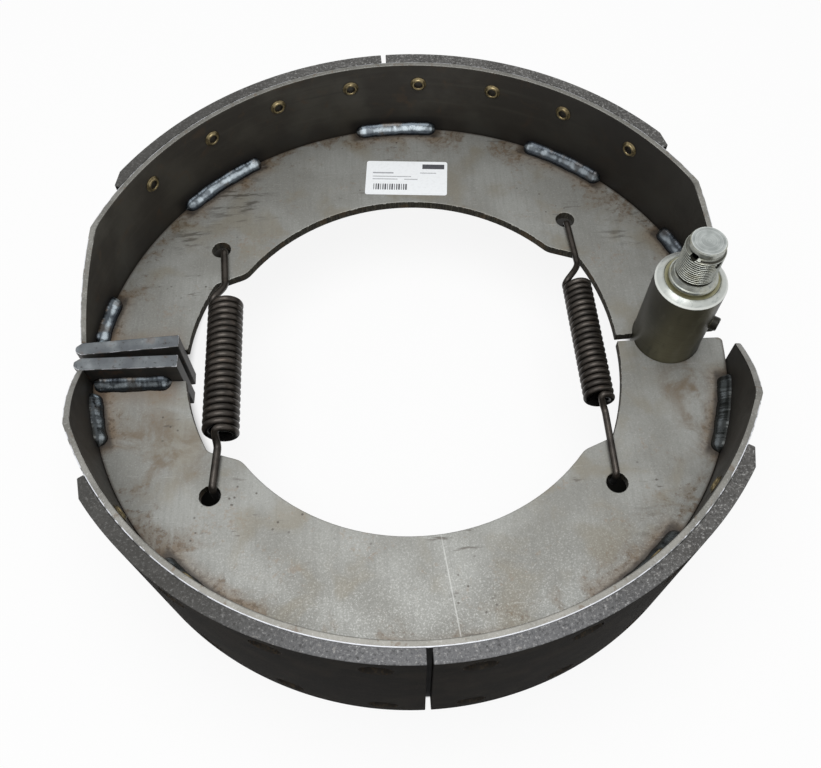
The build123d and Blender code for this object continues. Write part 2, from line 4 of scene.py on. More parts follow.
import bmesh
import bpy
from mathutils import Matrix, Vector
from mathutils.geometry import interpolate_bezier
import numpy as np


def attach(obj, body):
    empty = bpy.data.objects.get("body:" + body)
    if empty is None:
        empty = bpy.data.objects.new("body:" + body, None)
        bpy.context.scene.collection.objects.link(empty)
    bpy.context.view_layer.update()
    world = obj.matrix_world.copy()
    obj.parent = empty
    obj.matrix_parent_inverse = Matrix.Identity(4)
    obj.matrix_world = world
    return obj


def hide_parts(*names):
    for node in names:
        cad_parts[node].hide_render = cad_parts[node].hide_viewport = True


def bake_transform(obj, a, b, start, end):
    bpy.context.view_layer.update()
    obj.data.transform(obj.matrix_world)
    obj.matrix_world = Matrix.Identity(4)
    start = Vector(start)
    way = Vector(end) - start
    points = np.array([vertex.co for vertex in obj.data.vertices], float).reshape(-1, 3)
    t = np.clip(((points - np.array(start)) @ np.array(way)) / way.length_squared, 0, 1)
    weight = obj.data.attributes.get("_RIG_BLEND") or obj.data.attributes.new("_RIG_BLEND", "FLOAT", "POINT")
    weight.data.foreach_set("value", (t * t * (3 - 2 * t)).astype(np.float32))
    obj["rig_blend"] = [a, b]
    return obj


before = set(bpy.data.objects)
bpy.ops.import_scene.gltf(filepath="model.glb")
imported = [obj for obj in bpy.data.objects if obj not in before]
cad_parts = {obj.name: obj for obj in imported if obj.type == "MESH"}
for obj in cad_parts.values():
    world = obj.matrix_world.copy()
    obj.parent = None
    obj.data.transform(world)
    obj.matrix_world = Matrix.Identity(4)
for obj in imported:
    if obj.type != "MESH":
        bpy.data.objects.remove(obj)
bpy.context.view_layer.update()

bl_info = {
    "name": "Drum brake shoe pair",
    "version": (1, 0, 0),
    "blender": (4, 5, 0),
    "location": "View3D > Sidebar > Brake",
    "description": "Dresses a pair of riveted drum brake shoes with anchor pin and return springs",
    "category": "Object",
}

MM = 0.001


def srgb(code):
    """An sRGB hex colour as the linear colour that Blender's sockets take."""
    channels = [int(code[i : i + 2], 16) / 255 for i in (1, 3, 5)]
    linear = [c / 12.92 if c <= 0.04045 else ((c + 0.055) / 1.055) ** 2.4 for c in channels]
    return (*linear, 1.0)


def length(label, value, words):
    return bpy.props.FloatProperty(
        name=label, description=words, default=value * MM, unit="LENGTH", precision=5
    )


def number(label, value, words, unit="NONE"):
    return bpy.props.FloatProperty(name=label, description=words, default=value, unit=unit)


def colour(label, code, words):
    return bpy.props.FloatVectorProperty(
        name=label, description=words, default=srgb(code), size=4, subtype="COLOR", min=0.0, max=1.0
    )


class ShoeSizes(bpy.types.PropertyGroup):
    drum_radius: length("Drum radius", 200.0, "Outer radius of the turned linings")
    shoe_width: length("Shoe width", 120.0, "Width of rims and linings along the axle")
    lining_thickness: length("Lining thickness", 7.5, "Thickness of the friction linings")
    rim_thickness: length("Rim thickness", 3.5, "Thickness of the rolled rim plate")
    web_thickness: length("Web thickness", 6.0, "Thickness of the flat web plate")
    lining_seat: length("Lining seat", 0.1, "Play between rim and lining")
    pin_distance: length("Pin distance", 155.58, "From the drum's axis to the anchor pin")
    closing: bpy.props.FloatProperty(
        name="Closing", description="How far each shoe has swung in from its braking place",
        default=radians(1.673), subtype="ANGLE",
    )
    rim_end_height: length("Rim end height", 82.5, "Top of the tapered rim ends")
    pad_top: length("Pad top", 19.3, "From the middle line to the back of a cam pad")
    lining_gap: length("Lining gap", 3.0, "Gap between the two linings of a shoe")
    bevel_depth: length("Bevel depth", 4.0, "How deep the linings' ends are bevelled")


class RivetSizes(bpy.types.PropertyGroup):
    edge_distance: length("Edge distance", 15.0, "From the rim's edge to a row of rivets")
    roll_radius: length("Roll radius", 5.2, "Radius of the end rolled over on the rim")
    roll_height: length("Roll height", 1.8, "How far the rolled end stands on the rim")
    bore_radius: length("Bore radius", 2.6, "Radius of the hollow rivet's bore")
    head_radius: length("Head radius", 7.8, "Radius of the flat head in the lining")
    head_thickness: length("Head thickness", 1.2, "Thickness of the flat head")
    counterbore_radius: length("Counterbore radius", 8.3, "Radius of the pocket for a rivet's head")
    counterbore_depth: length("Counterbore depth", 4.0, "Depth of the pocket for a rivet's head")


class WeldSizes(bpy.types.PropertyGroup):
    leg: length("Leg", 6.5, "Width of a weld bead on each plate")
    ripple: length("Ripple pitch", 2.1, "Distance between the ripples of a bead")


class PinSizes(bpy.types.PropertyGroup):
    radius: length("Radius", 20.0, "Radius of the pin's body")
    foot: length("Foot", 57.0, "Height of the pin's lower end")
    body_top: length("Body top", 121.1, "Height where the cone starts")
    cone_top: length("Cone top", 124.1, "Height where the cone ends")
    cone_radius: length("Cone radius", 15.1, "Radius where the cone ends")
    collar_radius: length("Collar radius", 13.5, "Radius of the collar")
    collar_top: length("Collar top", 126.7, "Height of the collar's edge")
    thread_radius: length("Thread radius", 11.0, "Outer radius of the thread")
    thread_pitch: length("Thread pitch", 1.5, "Distance between two crests of the thread")
    thread_depth: length("Thread depth", 0.95, "Depth of the thread")
    thread_start: length("Thread start", 129.5, "Height where the thread starts")
    thread_end: length("Thread end", 149.4, "Height where the thread ends")
    groove_radius: length("Groove radius", 9.3, "Radius of the groove under the stud's end")
    end_radius: length("End radius", 9.7, "Radius of the stud's end")
    top: length("Top", 154.6, "Height of the stud's end face")
    cross_hole_radius: length("Cross hole radius", 2.2, "Radius of the holes across the stud")
    nipple_radius: length("Nipple radius", 4.0, "Radius of the grease nipple")
    nipple_tip: length("Nipple tip", 24.0, "Distance from the pin's axis to the nipple's end")
    nipple_height: length("Nipple height", 95.0, "Height of the grease nipple")


class SpringSizes(bpy.types.PropertyGroup):
    cam_wire: length("Cam side wire", 4.5, "Wire diameter of the cam side spring")
    cam_outer: length("Cam side outer", 21.5, "Outer diameter of the cam side spring")
    pin_wire: length("Pin side wire", 4.0, "Wire diameter of the pin side spring")
    pin_outer: length("Pin side outer", 18.0, "Outer diameter of the pin side spring")
    play: length("Play", 0.3, "Play between a hook's wire and the web")


class Colours(bpy.types.PropertyGroup):
    web_light: colour("Web, light", "#8C8D89", "Bare plate where the mill scale is gone")
    web_dark: colour("Web, dark", "#7C7C77", "Bare plate under oil film")
    web_rust: colour("Web, rust", "#65553F", "Thin rust along the welds")
    web_edge: colour("Web edge", "#2C2A24", "Flame-cut edge with scale")
    rim_scale: colour("Rim, scale", "#332F29", "Mill scale on the rim's wall")
    rim_light: colour("Rim, worn scale", "#4D4A42", "Worn streaks of the scale")
    rim_rust: colour("Rim, rust", "#4B3B2B", "Rust tint on the rim's wall")
    rim_edge: colour("Rim edge", "#807F7A", "Sheared and ground rim edge")
    # Painted highlight on the edges
    arris: colour("Arris", "#E2E4EA", "Edges rubbed to bare metal")
    lining_edge: colour("Lining edge", "#545351", "Sawn edges of the friction material")
    lining_face: colour("Lining face", "#141210", "Turned face of the friction material")
    brass: colour("Rivet brass", "#857859", "Brass of the tubular rivets")
    pad_top: colour("Cam pad, sawn", "#62676A", "Sawn ends of the hardened bar")
    pad_side: colour("Cam pad, scale", "#1C1C1B", "Scaled sides of the hardened bar")
    # Painted highlight along the crest of a bead
    weld: colour("Weld", "#BCC7CE", "Silver crest of the weld metal")
    # Heat tint and painted shade at the toes of a bead
    weld_toe: colour("Weld toe", "#15181C", "Dark blue-grey at the toes of a bead")
    pin_dark: colour("Pin, dark", "#26241C", "Oiled steel of the pin's body")
    # Painted highlight on the front of the pin's body
    pin_light: colour("Pin, light", "#716D57", "Where the pin's body is wiped")
    pin_zinc: colour("Pin zinc", "#B7BAB2", "Zinc plate on the stud end")
    pin_olive: colour("Pin olive", "#77745A", "Yellow passivated tint in the corners")
    spring: colour("Spring wire", "#3D3833", "Dark oiled spring wire")
    paper: colour("Label paper", "#F4F7F9", "White label paper")
    ink: colour("Label ink", "#45464B", "Dark printed fields on the label")
    ink_grey: colour("Label grey", "#A2A4A8", "Light printed lines on the label")
    floor: colour("Floor", "#F4F4F4", "Pale floor")
    floor_shade: colour("Floor, shade", "#242321", "Deep shade on the floor under the webs")


class Studio(bpy.types.PropertyGroup):
    world_light: number("World light", 0.34, "Strength of the even light")
    key_power: number("Key power", 13.0, "Power of the large overhead lamp", "POWER")
    lens: number("Lens", 37.617, "Focal length on a 36 mm sensor")
    shift_x: number("Shift X", 0.0009, "Sideways shift of the frame")
    shift_y: number("Shift Y", 0.01995, "Upward shift of the frame")


# Angles on a shoe are counted at the drum's axis from the anchor pin, in degrees
RIM_ANGLES = (5.4, 21.7, 157.55, 174.2)
LINING_ANGLES = (31.16, 89.38, 147.87)
BEVEL_ANGLE = 3.0
RIVET_ANGLES = (37.4, 52.7, 67.7, 82.7, 96.4, 111.5, 126.3, 141.6)
RIM_WELDS = ((9.2, 25.0), (41.8, 59.7), (79.0, 96.0), (117.6, 136.5), (161.1, 171.9))
# Soft marks on the webs in mm: middle, reach and amount
FILM_RUST = (
    (160, -34, 24, 0.8), (-150, -52, 36, 0.7), (-128, -60, 24, 0.4),
    (165, -62, 24, 0.9), (165, -84, 24, 0.8),
)
SCUFFED = ((-107, 128, 32, 0.75), (-135, 96, 18, 0.7), (145, 85, 24, 0.5), (120, -118, 14, 0.4))
# Where the line scribed on the lower web would cross the middle line, along X in mm
SCRIBED_AT = -2.8
# The round stretch of floor under the opening that light reaches: middle and radius in mm
FLOOR_LIT = (2, 41, 147)
# From where to where, along X in mm, light also comes in between the rims' cam ends
CAM_SIDE_LIT = (-175, -140)
# Mesh points closer than this, in mm, are one point
SAME_POINT = 0.01
# How far sharp edges are broken, in mm
WEB_BREAK, RIM_BREAK, LINING_BREAK, PAD_BREAK = 0.45, 0.6, 0.3, 0.55
# A pad weld's two ends along X on a shoe as it was made, and the radius of the spring holes, in mm
PAD_WELD = (-186.8, -141.0)
SPRING_HOLE_RADIUS = 6.0
# The two holes across the stud, with azimuth in degrees and height in mm, and the nipple's azimuth
CROSS_HOLES = ((-142.0, 149.6), (-60.0, 145.4))
NIPPLE_AZIMUTH = -35.0
# The label's width, depth, thickness and corner radius and its middle in mm, its turn in degrees
LABEL_SIZE = (55.0, 30.0, 0.2, 1.6)
LABEL_MIDDLE = (11.3, 142.1)
LABEL_TURN = -7.3
# The camera's place in mm, the way to its right and the way it looks
CAMERA_AT = (-14.3, -273.53, 503.99)
CAMERA_RIGHT = (0.99765, -0.06781, -0.00964)
CAMERA_LOOKS = (0.02414, 0.47988, -0.877)
# The lamp's place, aim and width, and the floor's reach, in m
LAMP_AT = (-0.08, -0.1, 1.3)
LAMP_AIM = (0, -0.05, 0.06)
LAMP_SIZE, FLOOR_REACH = 1.2, 3.0
# Each shoe's side of the middle line, and the name that its nodes and its body start with
SIDES = ((1, "upper"), (-1, "lower"))


def rim_radius():
    shoe = bpy.context.scene.brake_shoe
    return shoe.drum_radius - shoe.lining_thickness


def rim_inner():
    return rim_radius() - bpy.context.scene.brake_shoe.rim_thickness


def web_bottom():
    return bpy.context.scene.brake_shoe.shoe_width / 2


def web_top():
    return web_bottom() + bpy.context.scene.brake_shoe.web_thickness


def polar(radius, angle, height=0.0):
    """A point on the upper shoe before it swings in."""
    return Vector((radius * cos(radians(angle)), radius * sin(radians(angle)), height))


def swing(side):
    """Takes a shoe from its braking place to where it rests."""
    shoe = bpy.context.scene.brake_shoe
    pin = Vector((shoe.pin_distance, 0, 0))
    turn = Matrix.Rotation(shoe.closing, 4, "Z")
    turned = Matrix.Translation(pin) @ turn @ Matrix.Translation(-pin)
    return Matrix.Diagonal((1, side, 1, 1)) @ turned


def place_on_shoe(bm, side):
    """Swings a finished shoe piece into place, with its faces still pointing out."""
    bmesh.ops.transform(bm, matrix=swing(side), verts=bm.verts)
    if side < 0:
        bmesh.ops.reverse_faces(bm, faces=bm.faces)


def make_piece(bm, node, ending, makers, body, crease=20.0):
    """Turns a bmesh into an object that stands for a CAD node, has its name and rides on a body."""
    name = f"{node}_{ending}"
    mesh = bpy.data.meshes.new(name)
    bm.to_mesh(mesh)
    bm.free()
    mesh.polygons.foreach_set("use_smooth", [True] * len(mesh.polygons))
    mesh.set_sharp_from_angle(angle=radians(crease))
    for maker in makers:
        mesh.materials.append(finish_of(maker))
    piece = bpy.data.objects.new(name, mesh)
    bpy.context.scene.collection.objects.link(piece)
    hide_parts(node)
    if body:
        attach(piece, body)
    return piece


def soften(bm, size, segments=2, over=35.0):
    """Breaks the sharp edges of a plate or bar."""
    whole = [edge for edge in bm.edges if edge.is_manifold]
    sharp = [edge for edge in whole if edge.calc_face_angle() > radians(over)]
    bmesh.ops.bevel(
        bm, geom=sharp, offset=size, offset_type="OFFSET", segments=segments,
        profile=0.5, affect="EDGES", material=-1, clamp_overlap=True,
    )
    bm.normal_update()


def face_out(bm):
    """Turns the faces of closed shapes to point out, from normals that are up to date."""
    bm.normal_update()
    bmesh.ops.recalc_face_normals(bm, faces=bm.faces)


def cad_copy(node):
    """A merged copy of a CAD node's mesh, with its flat faces whole again."""
    bm = bmesh.new()
    bm.from_mesh(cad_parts[node].data)
    bmesh.ops.remove_doubles(bm, verts=bm.verts, dist=SAME_POINT * MM)
    bmesh.ops.dissolve_limit(bm, angle_limit=radians(0.5), verts=bm.verts, edges=bm.edges)
    return bm


def join_into(bm, part):
    """Adds a bmesh to another and gives the new points."""
    mesh = bpy.data.meshes.new("part")
    part.to_mesh(mesh)
    part.free()
    before = len(bm.verts)
    bm.from_mesh(mesh)
    bpy.data.meshes.remove(mesh)
    bm.verts.ensure_lookup_table()
    return bm.verts[before:]


def spin(bm, geom, angle, steps, axis=(0, 0, 1), rise=(0, 0, 0), centre=(0, 0, 0), merge=False):
    """Spins a section about an axis, rising by so much in each step, and gives the last one."""
    made = bmesh.ops.spin(
        bm, geom=geom, cent=centre, axis=axis, dvec=rise, angle=angle, steps=steps, use_merge=merge
    )
    return made["geom_last"]


def with_edges(face):
    return [face, *face.edges, *face.verts]


def add_rod(bm, radius, depth, place, segments):
    """Adds a closed cylinder with its middle at a place, along the place's Z."""
    bmesh.ops.create_cone(
        bm, cap_ends=True, segments=segments, radius1=radius, radius2=radius, depth=depth,
        matrix=place,
    )


def put_block(bm):
    """Links a bmesh as an object for the length of a cut."""
    mesh = bpy.data.meshes.new("cutting")
    bm.to_mesh(mesh)
    bm.free()
    block = bpy.data.objects.new("cutting", mesh)
    bpy.context.scene.collection.objects.link(block)
    return block


def cut(bm, cutter):
    """Takes the cutter's volume out of a bmesh."""
    work, tool = put_block(bm), put_block(cutter)
    step = work.modifiers.new("cut", "BOOLEAN")
    step.operation = "DIFFERENCE"
    step.solver = "EXACT"
    step.object = tool
    bpy.context.view_layer.update()
    evaluated = work.evaluated_get(bpy.context.evaluated_depsgraph_get())
    result = bpy.data.meshes.new_from_object(evaluated)
    made = bmesh.new()
    made.from_mesh(result)
    for mesh in (result, work.data, tool.data):
        bpy.data.meshes.remove(mesh)
    return made


# Materials

# What a noise has besides size and detail: roughness, distortion, stretch by axis, turn about Z
PLAIN_NOISE = (0.5, 0.0, (1, 1, 1), 0.0)
# What a row of values has besides its source, low and high: end, start and shape
PLAIN_ROW = (1.0, 0.0, "SMOOTHSTEP")
# The stretch of a noise over which a roughness changes
MIDDLE = (0.3, 0.7)


def add_node(tree, kind, inputs, output=0, **choices):
    """Adds a node with its choices, fills its inputs with values or links, and gives one output."""
    made = tree.nodes.new("ShaderNode" + kind)
    for name, value in choices.items():
        setattr(made, name, value)
    for name, value in inputs.items():
        if isinstance(value, bpy.types.NodeSocket):
            tree.links.new(value, made.inputs[name])
        else:
            made.inputs[name].default_value = value
    return made.outputs[output] if made.outputs else made


class Finish:
    """A material in the making: its patterns, the colour laid so far, and its shader at the end."""

    def __init__(self, name, base, **patterns):
        """Each pattern is a noise: size in mm, detail, then what it changes of PLAIN_NOISE."""
        self.material = bpy.data.materials.new(name)
        self.material.use_nodes = True
        self.tree = self.material.node_tree
        self.tree.nodes.clear()
        self.place = self.add("TexCoord", {}, output="Object")
        self.x, self.y, self.z = self.add("SeparateXYZ", {"Vector": self.place}).node.outputs
        self.base = self.colour(base)
        self.patterns = {}
        for pattern, (size, detail, *more) in patterns.items():
            rough, distortion, stretch, turn = (*more, *PLAIN_NOISE[len(more):])
            inputs = {"Vector": self.place, "Rotation": (0, 0, turn), "Scale": stretch}
            spread = self.add("Mapping", inputs)
            inputs = {"Vector": spread, "Scale": 1 / (size * MM), "Detail": detail}
            inputs.update({"Roughness": rough, "Distortion": distortion})
            self.patterns[pattern] = self.add("TexNoise", inputs)

    def add(self, kind, inputs, output=0, **choices):
        return add_node(self.tree, kind, inputs, output, **choices)

    def colour(self, code):
        """A colour by its hex code or by its name in the panel."""
        if code.startswith("#"):
            return srgb(code)
        return getattr(bpy.context.scene.brake_colours, code)

    def value(self, source):
        """A number or link as it is, a pattern by its name, or what a row says.

        A row goes from start to end as its source goes from low to high: source, low, high, and
        then as much of end, start and shape as differs from PLAIN_ROW.
        """
        if isinstance(source, str):
            return self.patterns[source]
        if not isinstance(source, tuple):
            return source
        source, low, high, end, start, shape = (*source, *PLAIN_ROW[len(source) - 3:])
        inputs = {0: self.value(source), 1: low, 2: high, 3: start, 4: self.value(end)}
        return self.add("MapRange", inputs, interpolation_type=shape)

    def coat(self, *coats):
        """Lays colours over each other, each as strong as the rest of its row says."""
        for over, *row in coats:
            inputs = {0: self.value(tuple(row)), 6: self.base, 7: self.colour(over)}
            self.base = self.add("Mix", inputs, output=2, data_type="RGBA")

    def apart(self, value, other):
        """How far two values lie apart."""
        off = self.add("Math", {0: value, 1: other}, operation="SUBTRACT")
        return self.add("Math", {0: off}, operation="ABSOLUTE")

    def distance(self, x=0.0, y=0.0):
        """How far a point lies from an upright axis."""
        inputs = {"Vector": self.place, "Location": (-x, -y, 0), "Scale": (1, 1, 0)}
        flat = self.add("Mapping", inputs)
        return self.add("VectorMath", {0: flat}, output="Value", operation="LENGTH")

    def patch(self, x, y, reach, amount):
        """A soft round patch seen from above, with its middle and its reach in mm."""
        return (self.distance(x * MM, y * MM), reach * MM, 0.25 * reach * MM, amount)

    def close(self, rough, metallic, relief=None, depth=0.1, strength=0.3, specular=0.5):
        """Ends the material with its shader, and a bump whose depth is in mm."""
        inputs = {"Base Color": self.base, "Roughness": self.value(rough), "Metallic": metallic}
        inputs["Specular IOR Level"] = specular
        if relief is not None:
            bump = {"Strength": strength, "Distance": depth * MM, "Height": self.value(relief)}
            inputs["Normal"] = self.add("Bump", bump)
        self.add("OutputMaterial", {"Surface": self.add("BsdfPrincipled", inputs)})
        return self.material


def shoe_places(finish):
    """Radius, angle, X and Y on a shoe as it was made, the same for both shoes."""
    shoe = bpy.context.scene.brake_shoe
    flat = finish.add("CombineXYZ", {"X": finish.x, "Y": finish.apart(finish.y, 0.0)})
    back = (shoe.pin_distance * (1 - cos(shoe.closing)), shoe.pin_distance * sin(shoe.closing), 0)
    turn = (0, 0, -shoe.closing)
    made = finish.add("Mapping", {"Vector": flat, "Location": back, "Rotation": turn})
    radius = finish.add("VectorMath", {0: made}, output="Value", operation="LENGTH")
    x, y, _ = finish.add("SeparateXYZ", {"Vector": made}).node.outputs
    return radius, finish.add("Math", {0: y, 1: x}, operation="ARCTAN2"), x, y


def beside_welds(finish, angle, spread):
    """1 along the stretches of rim that are welded, falling to 0 over the spread in degrees."""
    half_turn = finish.add("Math", {0: angle, 1: pi}, operation="DIVIDE")
    mask = finish.add("ValToRGB", {"Fac": half_turn})
    ramp = mask.node.color_ramp
    ramp.interpolation = "EASE"
    for stop in ramp.elements:
        stop.color = (0, 0, 0, 1)
    for start, end in RIM_WELDS:
        stops = ((start - spread, 0), (start + 0.6, 1), (end - 0.6, 1), (end + spread, 0))
        for where, level in stops:
            stop = ramp.elements.new(where / 180)
            stop.color = (level, level, level, 1)
    return mask


def pickled_steel_plate():
    """Hot-rolled mild steel, pickled: cool grey, cloudy oil film, grain, and rust by the welds."""
    # The grain of the pickled surface is drawn coarser than it is so that it shows
    plate = Finish(
        "pickled_steel_plate", "web_dark", clouds=(42, 6), streaks=(1.9, 4, 0.6, 0, (1, 0.05, 1)),
        grain=(0.9, 3, 0.7), oil=(30, 5, 0.5, 0.4), patches=(24, 8, 0.64, 0.5), fine=(3, 5, 0.7),
        few=(48, 3), scuffs=(3.4, 5, 0.6, 0, (0.22, 1, 1), -0.8),
        scratches=(1.6, 3, 0.5, 0.2, (0.05, 1, 1), 1.3),
    )
    radius, angle, along, across = shoe_places(plate)
    patches = plate.patterns["patches"]
    sparkle = (plate.y, -95 * MM, -175 * MM, 0.3, 0.0, "LINEAR")
    near_rim = (radius, 158 * MM, 188 * MM, 0.55)
    broken = plate.add("Math", {0: patches, 1: plate.patterns["fine"]}, operation="MULTIPLY")
    plate.coat(
        ("web_light", "clouds", 0.36, 0.64), ("#6C6C68", "streaks", 0.42, 0.72, 0.28),
        ("#B3B4B0", "grain", 0.52, 0.74, 0.3), ("#565650", "grain", 0.46, 0.28, 0.3),
        ("#77705F", "oil", 0.5, 0.68, 0.5),
        # The grain sparkles where the plate faces the light at the front
        ("#D6D7D3", "grain", 0.51, 0.66, sparkle), ("#66655F", "grain", 0.46, 0.33, sparkle),
        # Rust film that spreads in from the rim, and in spots
        ("web_rust", "patches", 0.5, 0.6, near_rim), ("#3B2D20", broken, 0.29, 0.34, near_rim),
        ("#7A6248", broken, 0.31, 0.38, 0.3),
        *(("#5F503C", "patches", 0.4, 0.62, plate.patch(*spot)) for spot in FILM_RUST),
    )
    # Heat tint and rust close to each bead, rust by the cam pad, painted shade in the corner of web and rim
    welded = beside_welds(plate, angle, 3.2)
    wobble = plate.add("Math", {0: patches, 1: 14 * MM, 2: radius}, operation="MULTIPLY_ADD")
    close = plate.value((wobble, 178 * MM, 194 * MM, 0.75))
    speckled = plate.add("Math", {0: close, 1: welded}, operation="MULTIPLY")
    pad_side = plate.value((across, 40 * MM, 24 * MM, 0.9))
    pad_rust = plate.add("Math", {0: pad_side, 1: patches}, operation="MULTIPLY")
    plate.coat(
        ("#705B42", welded, 0.0, 1.0, close), ("#3A2D21", "fine", 0.5, 0.58, speckled),
        ("#26221F", welded, 0.3, 1.0, (radius, 179.5 * MM, 182.5 * MM, 0.8)),
        ("#6F5942", along, -132 * MM, -142 * MM, pad_rust),
        ("#3A322A", radius, 186.8 * MM, 188.8 * MM, 0.8),
    )
    # Handling marks: dark scuffs along one direction, pits in patches, and a few pale scratches
    rare = ("few", 0.48, 0.62, 0.8)
    inputs = {"Vector": plate.place, "Scale": 1 / (6.5 * MM)}
    pits = plate.add("TexVoronoi", inputs, output="Distance")
    # One pale line scribed across the lower web
    slant = plate.add("Math", {0: plate.y, 1: 0.1, 2: plate.x}, operation="MULTIPLY_ADD")
    scribed = plate.apart(slant, SCRIBED_AT * MM)
    in_front = (plate.y, -112 * MM, -126 * MM, 0.45, 0.0, "LINEAR")
    plate.coat(
        ("#4A443D", "scuffs", 0.6, 0.7, rare),
        *(("#3F3A33", "scuffs", 0.5, 0.62, plate.patch(*spot)) for spot in SCUFFED),
        ("#3B332B", pits, 0.14, 0.07, rare), ("#B4B5B1", "scratches", 0.7, 0.75, 0.3),
        ("#C6C7C4", scribed, 0.5 * MM, 0.15 * MM, in_front),
    )
    return plate.close(("clouds", *MIDDLE, 0.44, 0.5, "LINEAR"), 0.3, "grain")


def flame_cut_edge():
    """The flame-cut edge of the plate: dark scale with fine drag lines down its face."""
    edge = Finish(
        "flame_cut_edge_scale", "web_edge", lines=(1.1, 3, 0.5, 0, (1, 1, 0.12)), blotch=(9, 4),
        chips=(3.1, 4, 0.7),
    )
    upper_arris = (edge.z, web_top() - 0.9 * MM, web_top() - 0.3 * MM, 0.9, 0.0, "LINEAR")
    edge.coat(
        ("#4C493F", "lines", 0.42, 0.72), ("#54432F", "blotch", 0.52, 0.68, 0.5),
        # Bright chips along the upper arris
        ("#C0BFB7", "chips", 0.54, 0.6, upper_arris),
    )
    return edge.close(0.75, 0.0, "lines", depth=0.25, strength=0.5, specular=0.15)


def mill_scale_plate():
    """Rolled plate with its mill scale on: near black brown, dull, worn in streaks."""
    plate = Finish(
        "mill_scale_rolled_plate", "rim_scale", clouds=(33, 6), rust=(14, 8, 0.65, 0.8),
        grain=(0.8, 3, 0.7),
    )
    radius, angle, along, _ = shoe_places(plate)
    # Streaks about 5 mm high run round the wall
    band = plate.add("CombineXYZ", {"X": angle, "Z": plate.z})
    band = plate.add("Mapping", {"Vector": band, "Scale": (2.0, 1.0, 1 / (5 * MM))})
    worn = plate.add("TexNoise", {"Vector": band, "Scale": 1.0, "Detail": 6.0, "Roughness": 0.65})
    from_web = plate.apart(plate.z, web_top())
    from_split = plate.apart(angle, radians(LINING_ANGLES[1]))
    wall = rim_radius()
    outside = plate.value((radius, wall - 1 * MM, wall - 0.5 * MM, 1.0, 0.0, "LINEAR"))
    plate.coat(
        ("rim_light", "clouds", 0.4, 0.7, 0.7), ("rim_light", worn, 0.5, 0.72, 0.45),
        ("#25231F", worn, 0.45, 0.3, 0.4), ("rim_rust", "rust", 0.54, 0.7, 0.55),
        # Painted shade where wall and web meet, and soot darkest round the beads
        ("#1C1A17", from_web, 24 * MM, 3 * MM, 0.65),
        ("#100E0D", beside_welds(plate, angle, 2.8), 0.0, 1.0, (from_web, 14 * MM, 7 * MM, 0.85)),
        # Painted shade on the walls towards the anchor pin and on the lower shoe
        ("#15120F", along, 30 * MM, 150 * MM, 0.75), ("#1B1814", plate.y, 15 * MM, -50 * MM, 0.55),
        # Painted shade on the rim in the gap between the linings
        ("#060606", from_split, radians(1.2), radians(0.8), outside),
    )
    rough = plate.value(("clouds", *MIDDLE, 0.42, 0.58, "LINEAR"))
    rough = plate.add("Math", {0: outside, 1: 0.3, 2: rough}, operation="MULTIPLY_ADD")
    return plate.close(rough, 0.25, "grain", depth=0.15)


def sheared_edge():
    """The rim's sheared edges: grey, finely grained, with dull and rusty spots."""
    edge = Finish(
        "sheared_steel_edge", "#6B6A65", rub=(17, 5), grain=(1.2, 4, 0.75), spots=(3.8, 4)
    )
    edge.coat(
        ("rim_edge", "rub", 0.38, 0.6),
        # Painted highlight towards the front of the lower shoe, painted shade on the upper shoe
        ("#8A8881", edge.y, -110 * MM, -185 * MM, 0.5), ("#5B5A55", edge.y, 20 * MM, 140 * MM, 0.5),
        ("#B4B4B0", "grain", 0.54, 0.7, 0.6), ("#4A4640", "grain", 0.44, 0.28, 0.6),
        ("#5B4B3A", "spots", 0.6, 0.7, 0.6),
    )
    return edge.close(0.45, 0.3, "grain", depth=0.12, strength=0.4)


def rubbed_arris():
    """Painted highlights on the corners, broken here and there."""
    arris = Finish("painted_highlight_arris", "#7A7A78", wear=(5.5, 5))
    # Painted highlight all along the front of the lower shoe
    arris.coat(("arris", "wear", 0.4, 0.52), ("#EEF0F6", arris.y, -145 * MM, -180 * MM, 0.9))
    return arris.close(0.3, 0.3)


def sawn_lining_edge():
    """Sawn and ground edge of the friction material: grey with a fine salt-and-pepper grain."""
    # Grit, drawn coarser than it is so that it shows
    edge = Finish(
        "sawn_friction_edge", "#42413F", cloud=(14, 5), fine=(1.5, 4, 0.8), coarse=(2.6, 3, 0.7)
    )
    edge.coat(
        ("lining_edge", "cloud", 0.38, 0.64), ("#77787B", edge.y, -150 * MM, -195 * MM, 0.65),
        ("#B4B4B3", "fine", 0.54, 0.66, 0.75), ("#1A1918", "fine", 0.47, 0.33, 0.85),
        ("#9B9996", "coarse", 0.6, 0.7, 0.7), ("#262524", "coarse", 0.42, 0.3, 0.6),
        ("#2F2E2B", edge.x, -30 * MM, -130 * MM, 0.65),
    )
    return edge.close(0.8, 0.0, "fine", depth=0.25, strength=0.6)


def turned_lining_face():
    """Face of the lining as turned to the drum: nearly black, faint tool marks, mineral chips."""
    face = Finish(
        "turned_friction_face", "lining_face", cloud=(20, 5),
        marks=(0.7, 3, 0.5, 0, (0.06, 0.06, 1)), fine=(1.3, 4, 0.8),
    )
    face.coat(
        ("#1E1B17", "cloud", 0.42, 0.7), ("#2C2822", "marks", 0.54, 0.7, 0.5),
        ("#4A463F", "fine", 0.6, 0.72, 0.6), ("#0E0D0C", "fine", 0.44, 0.3, 0.6),
    )
    return face.close(0.9, 0.0, "fine", depth=0.25, strength=0.5, specular=0.06)


def rolled_brass():
    """Drawn brass tube, rolled over: brown tarnish in patches, and painted shade where the roll turns away
    from view.
    """
    brass = Finish("rolled_rivet_brass", "brass", tarnish=(2.4, 4))
    facing = brass.add("LayerWeight", {"Blend": 0.5}, output="Facing")
    # Tarnish in patches, then painted shade where the surface turns away from view
    brass.coat(("#544A36", "tarnish", 0.42, 0.66, 0.8), ("#2E281C", facing, 0.35, 0.8, 0.8))
    rough = ("tarnish", *MIDDLE, 0.42, 0.26, "LINEAR")
    return brass.close(rough, 0.85, "tarnish", strength=0.15)


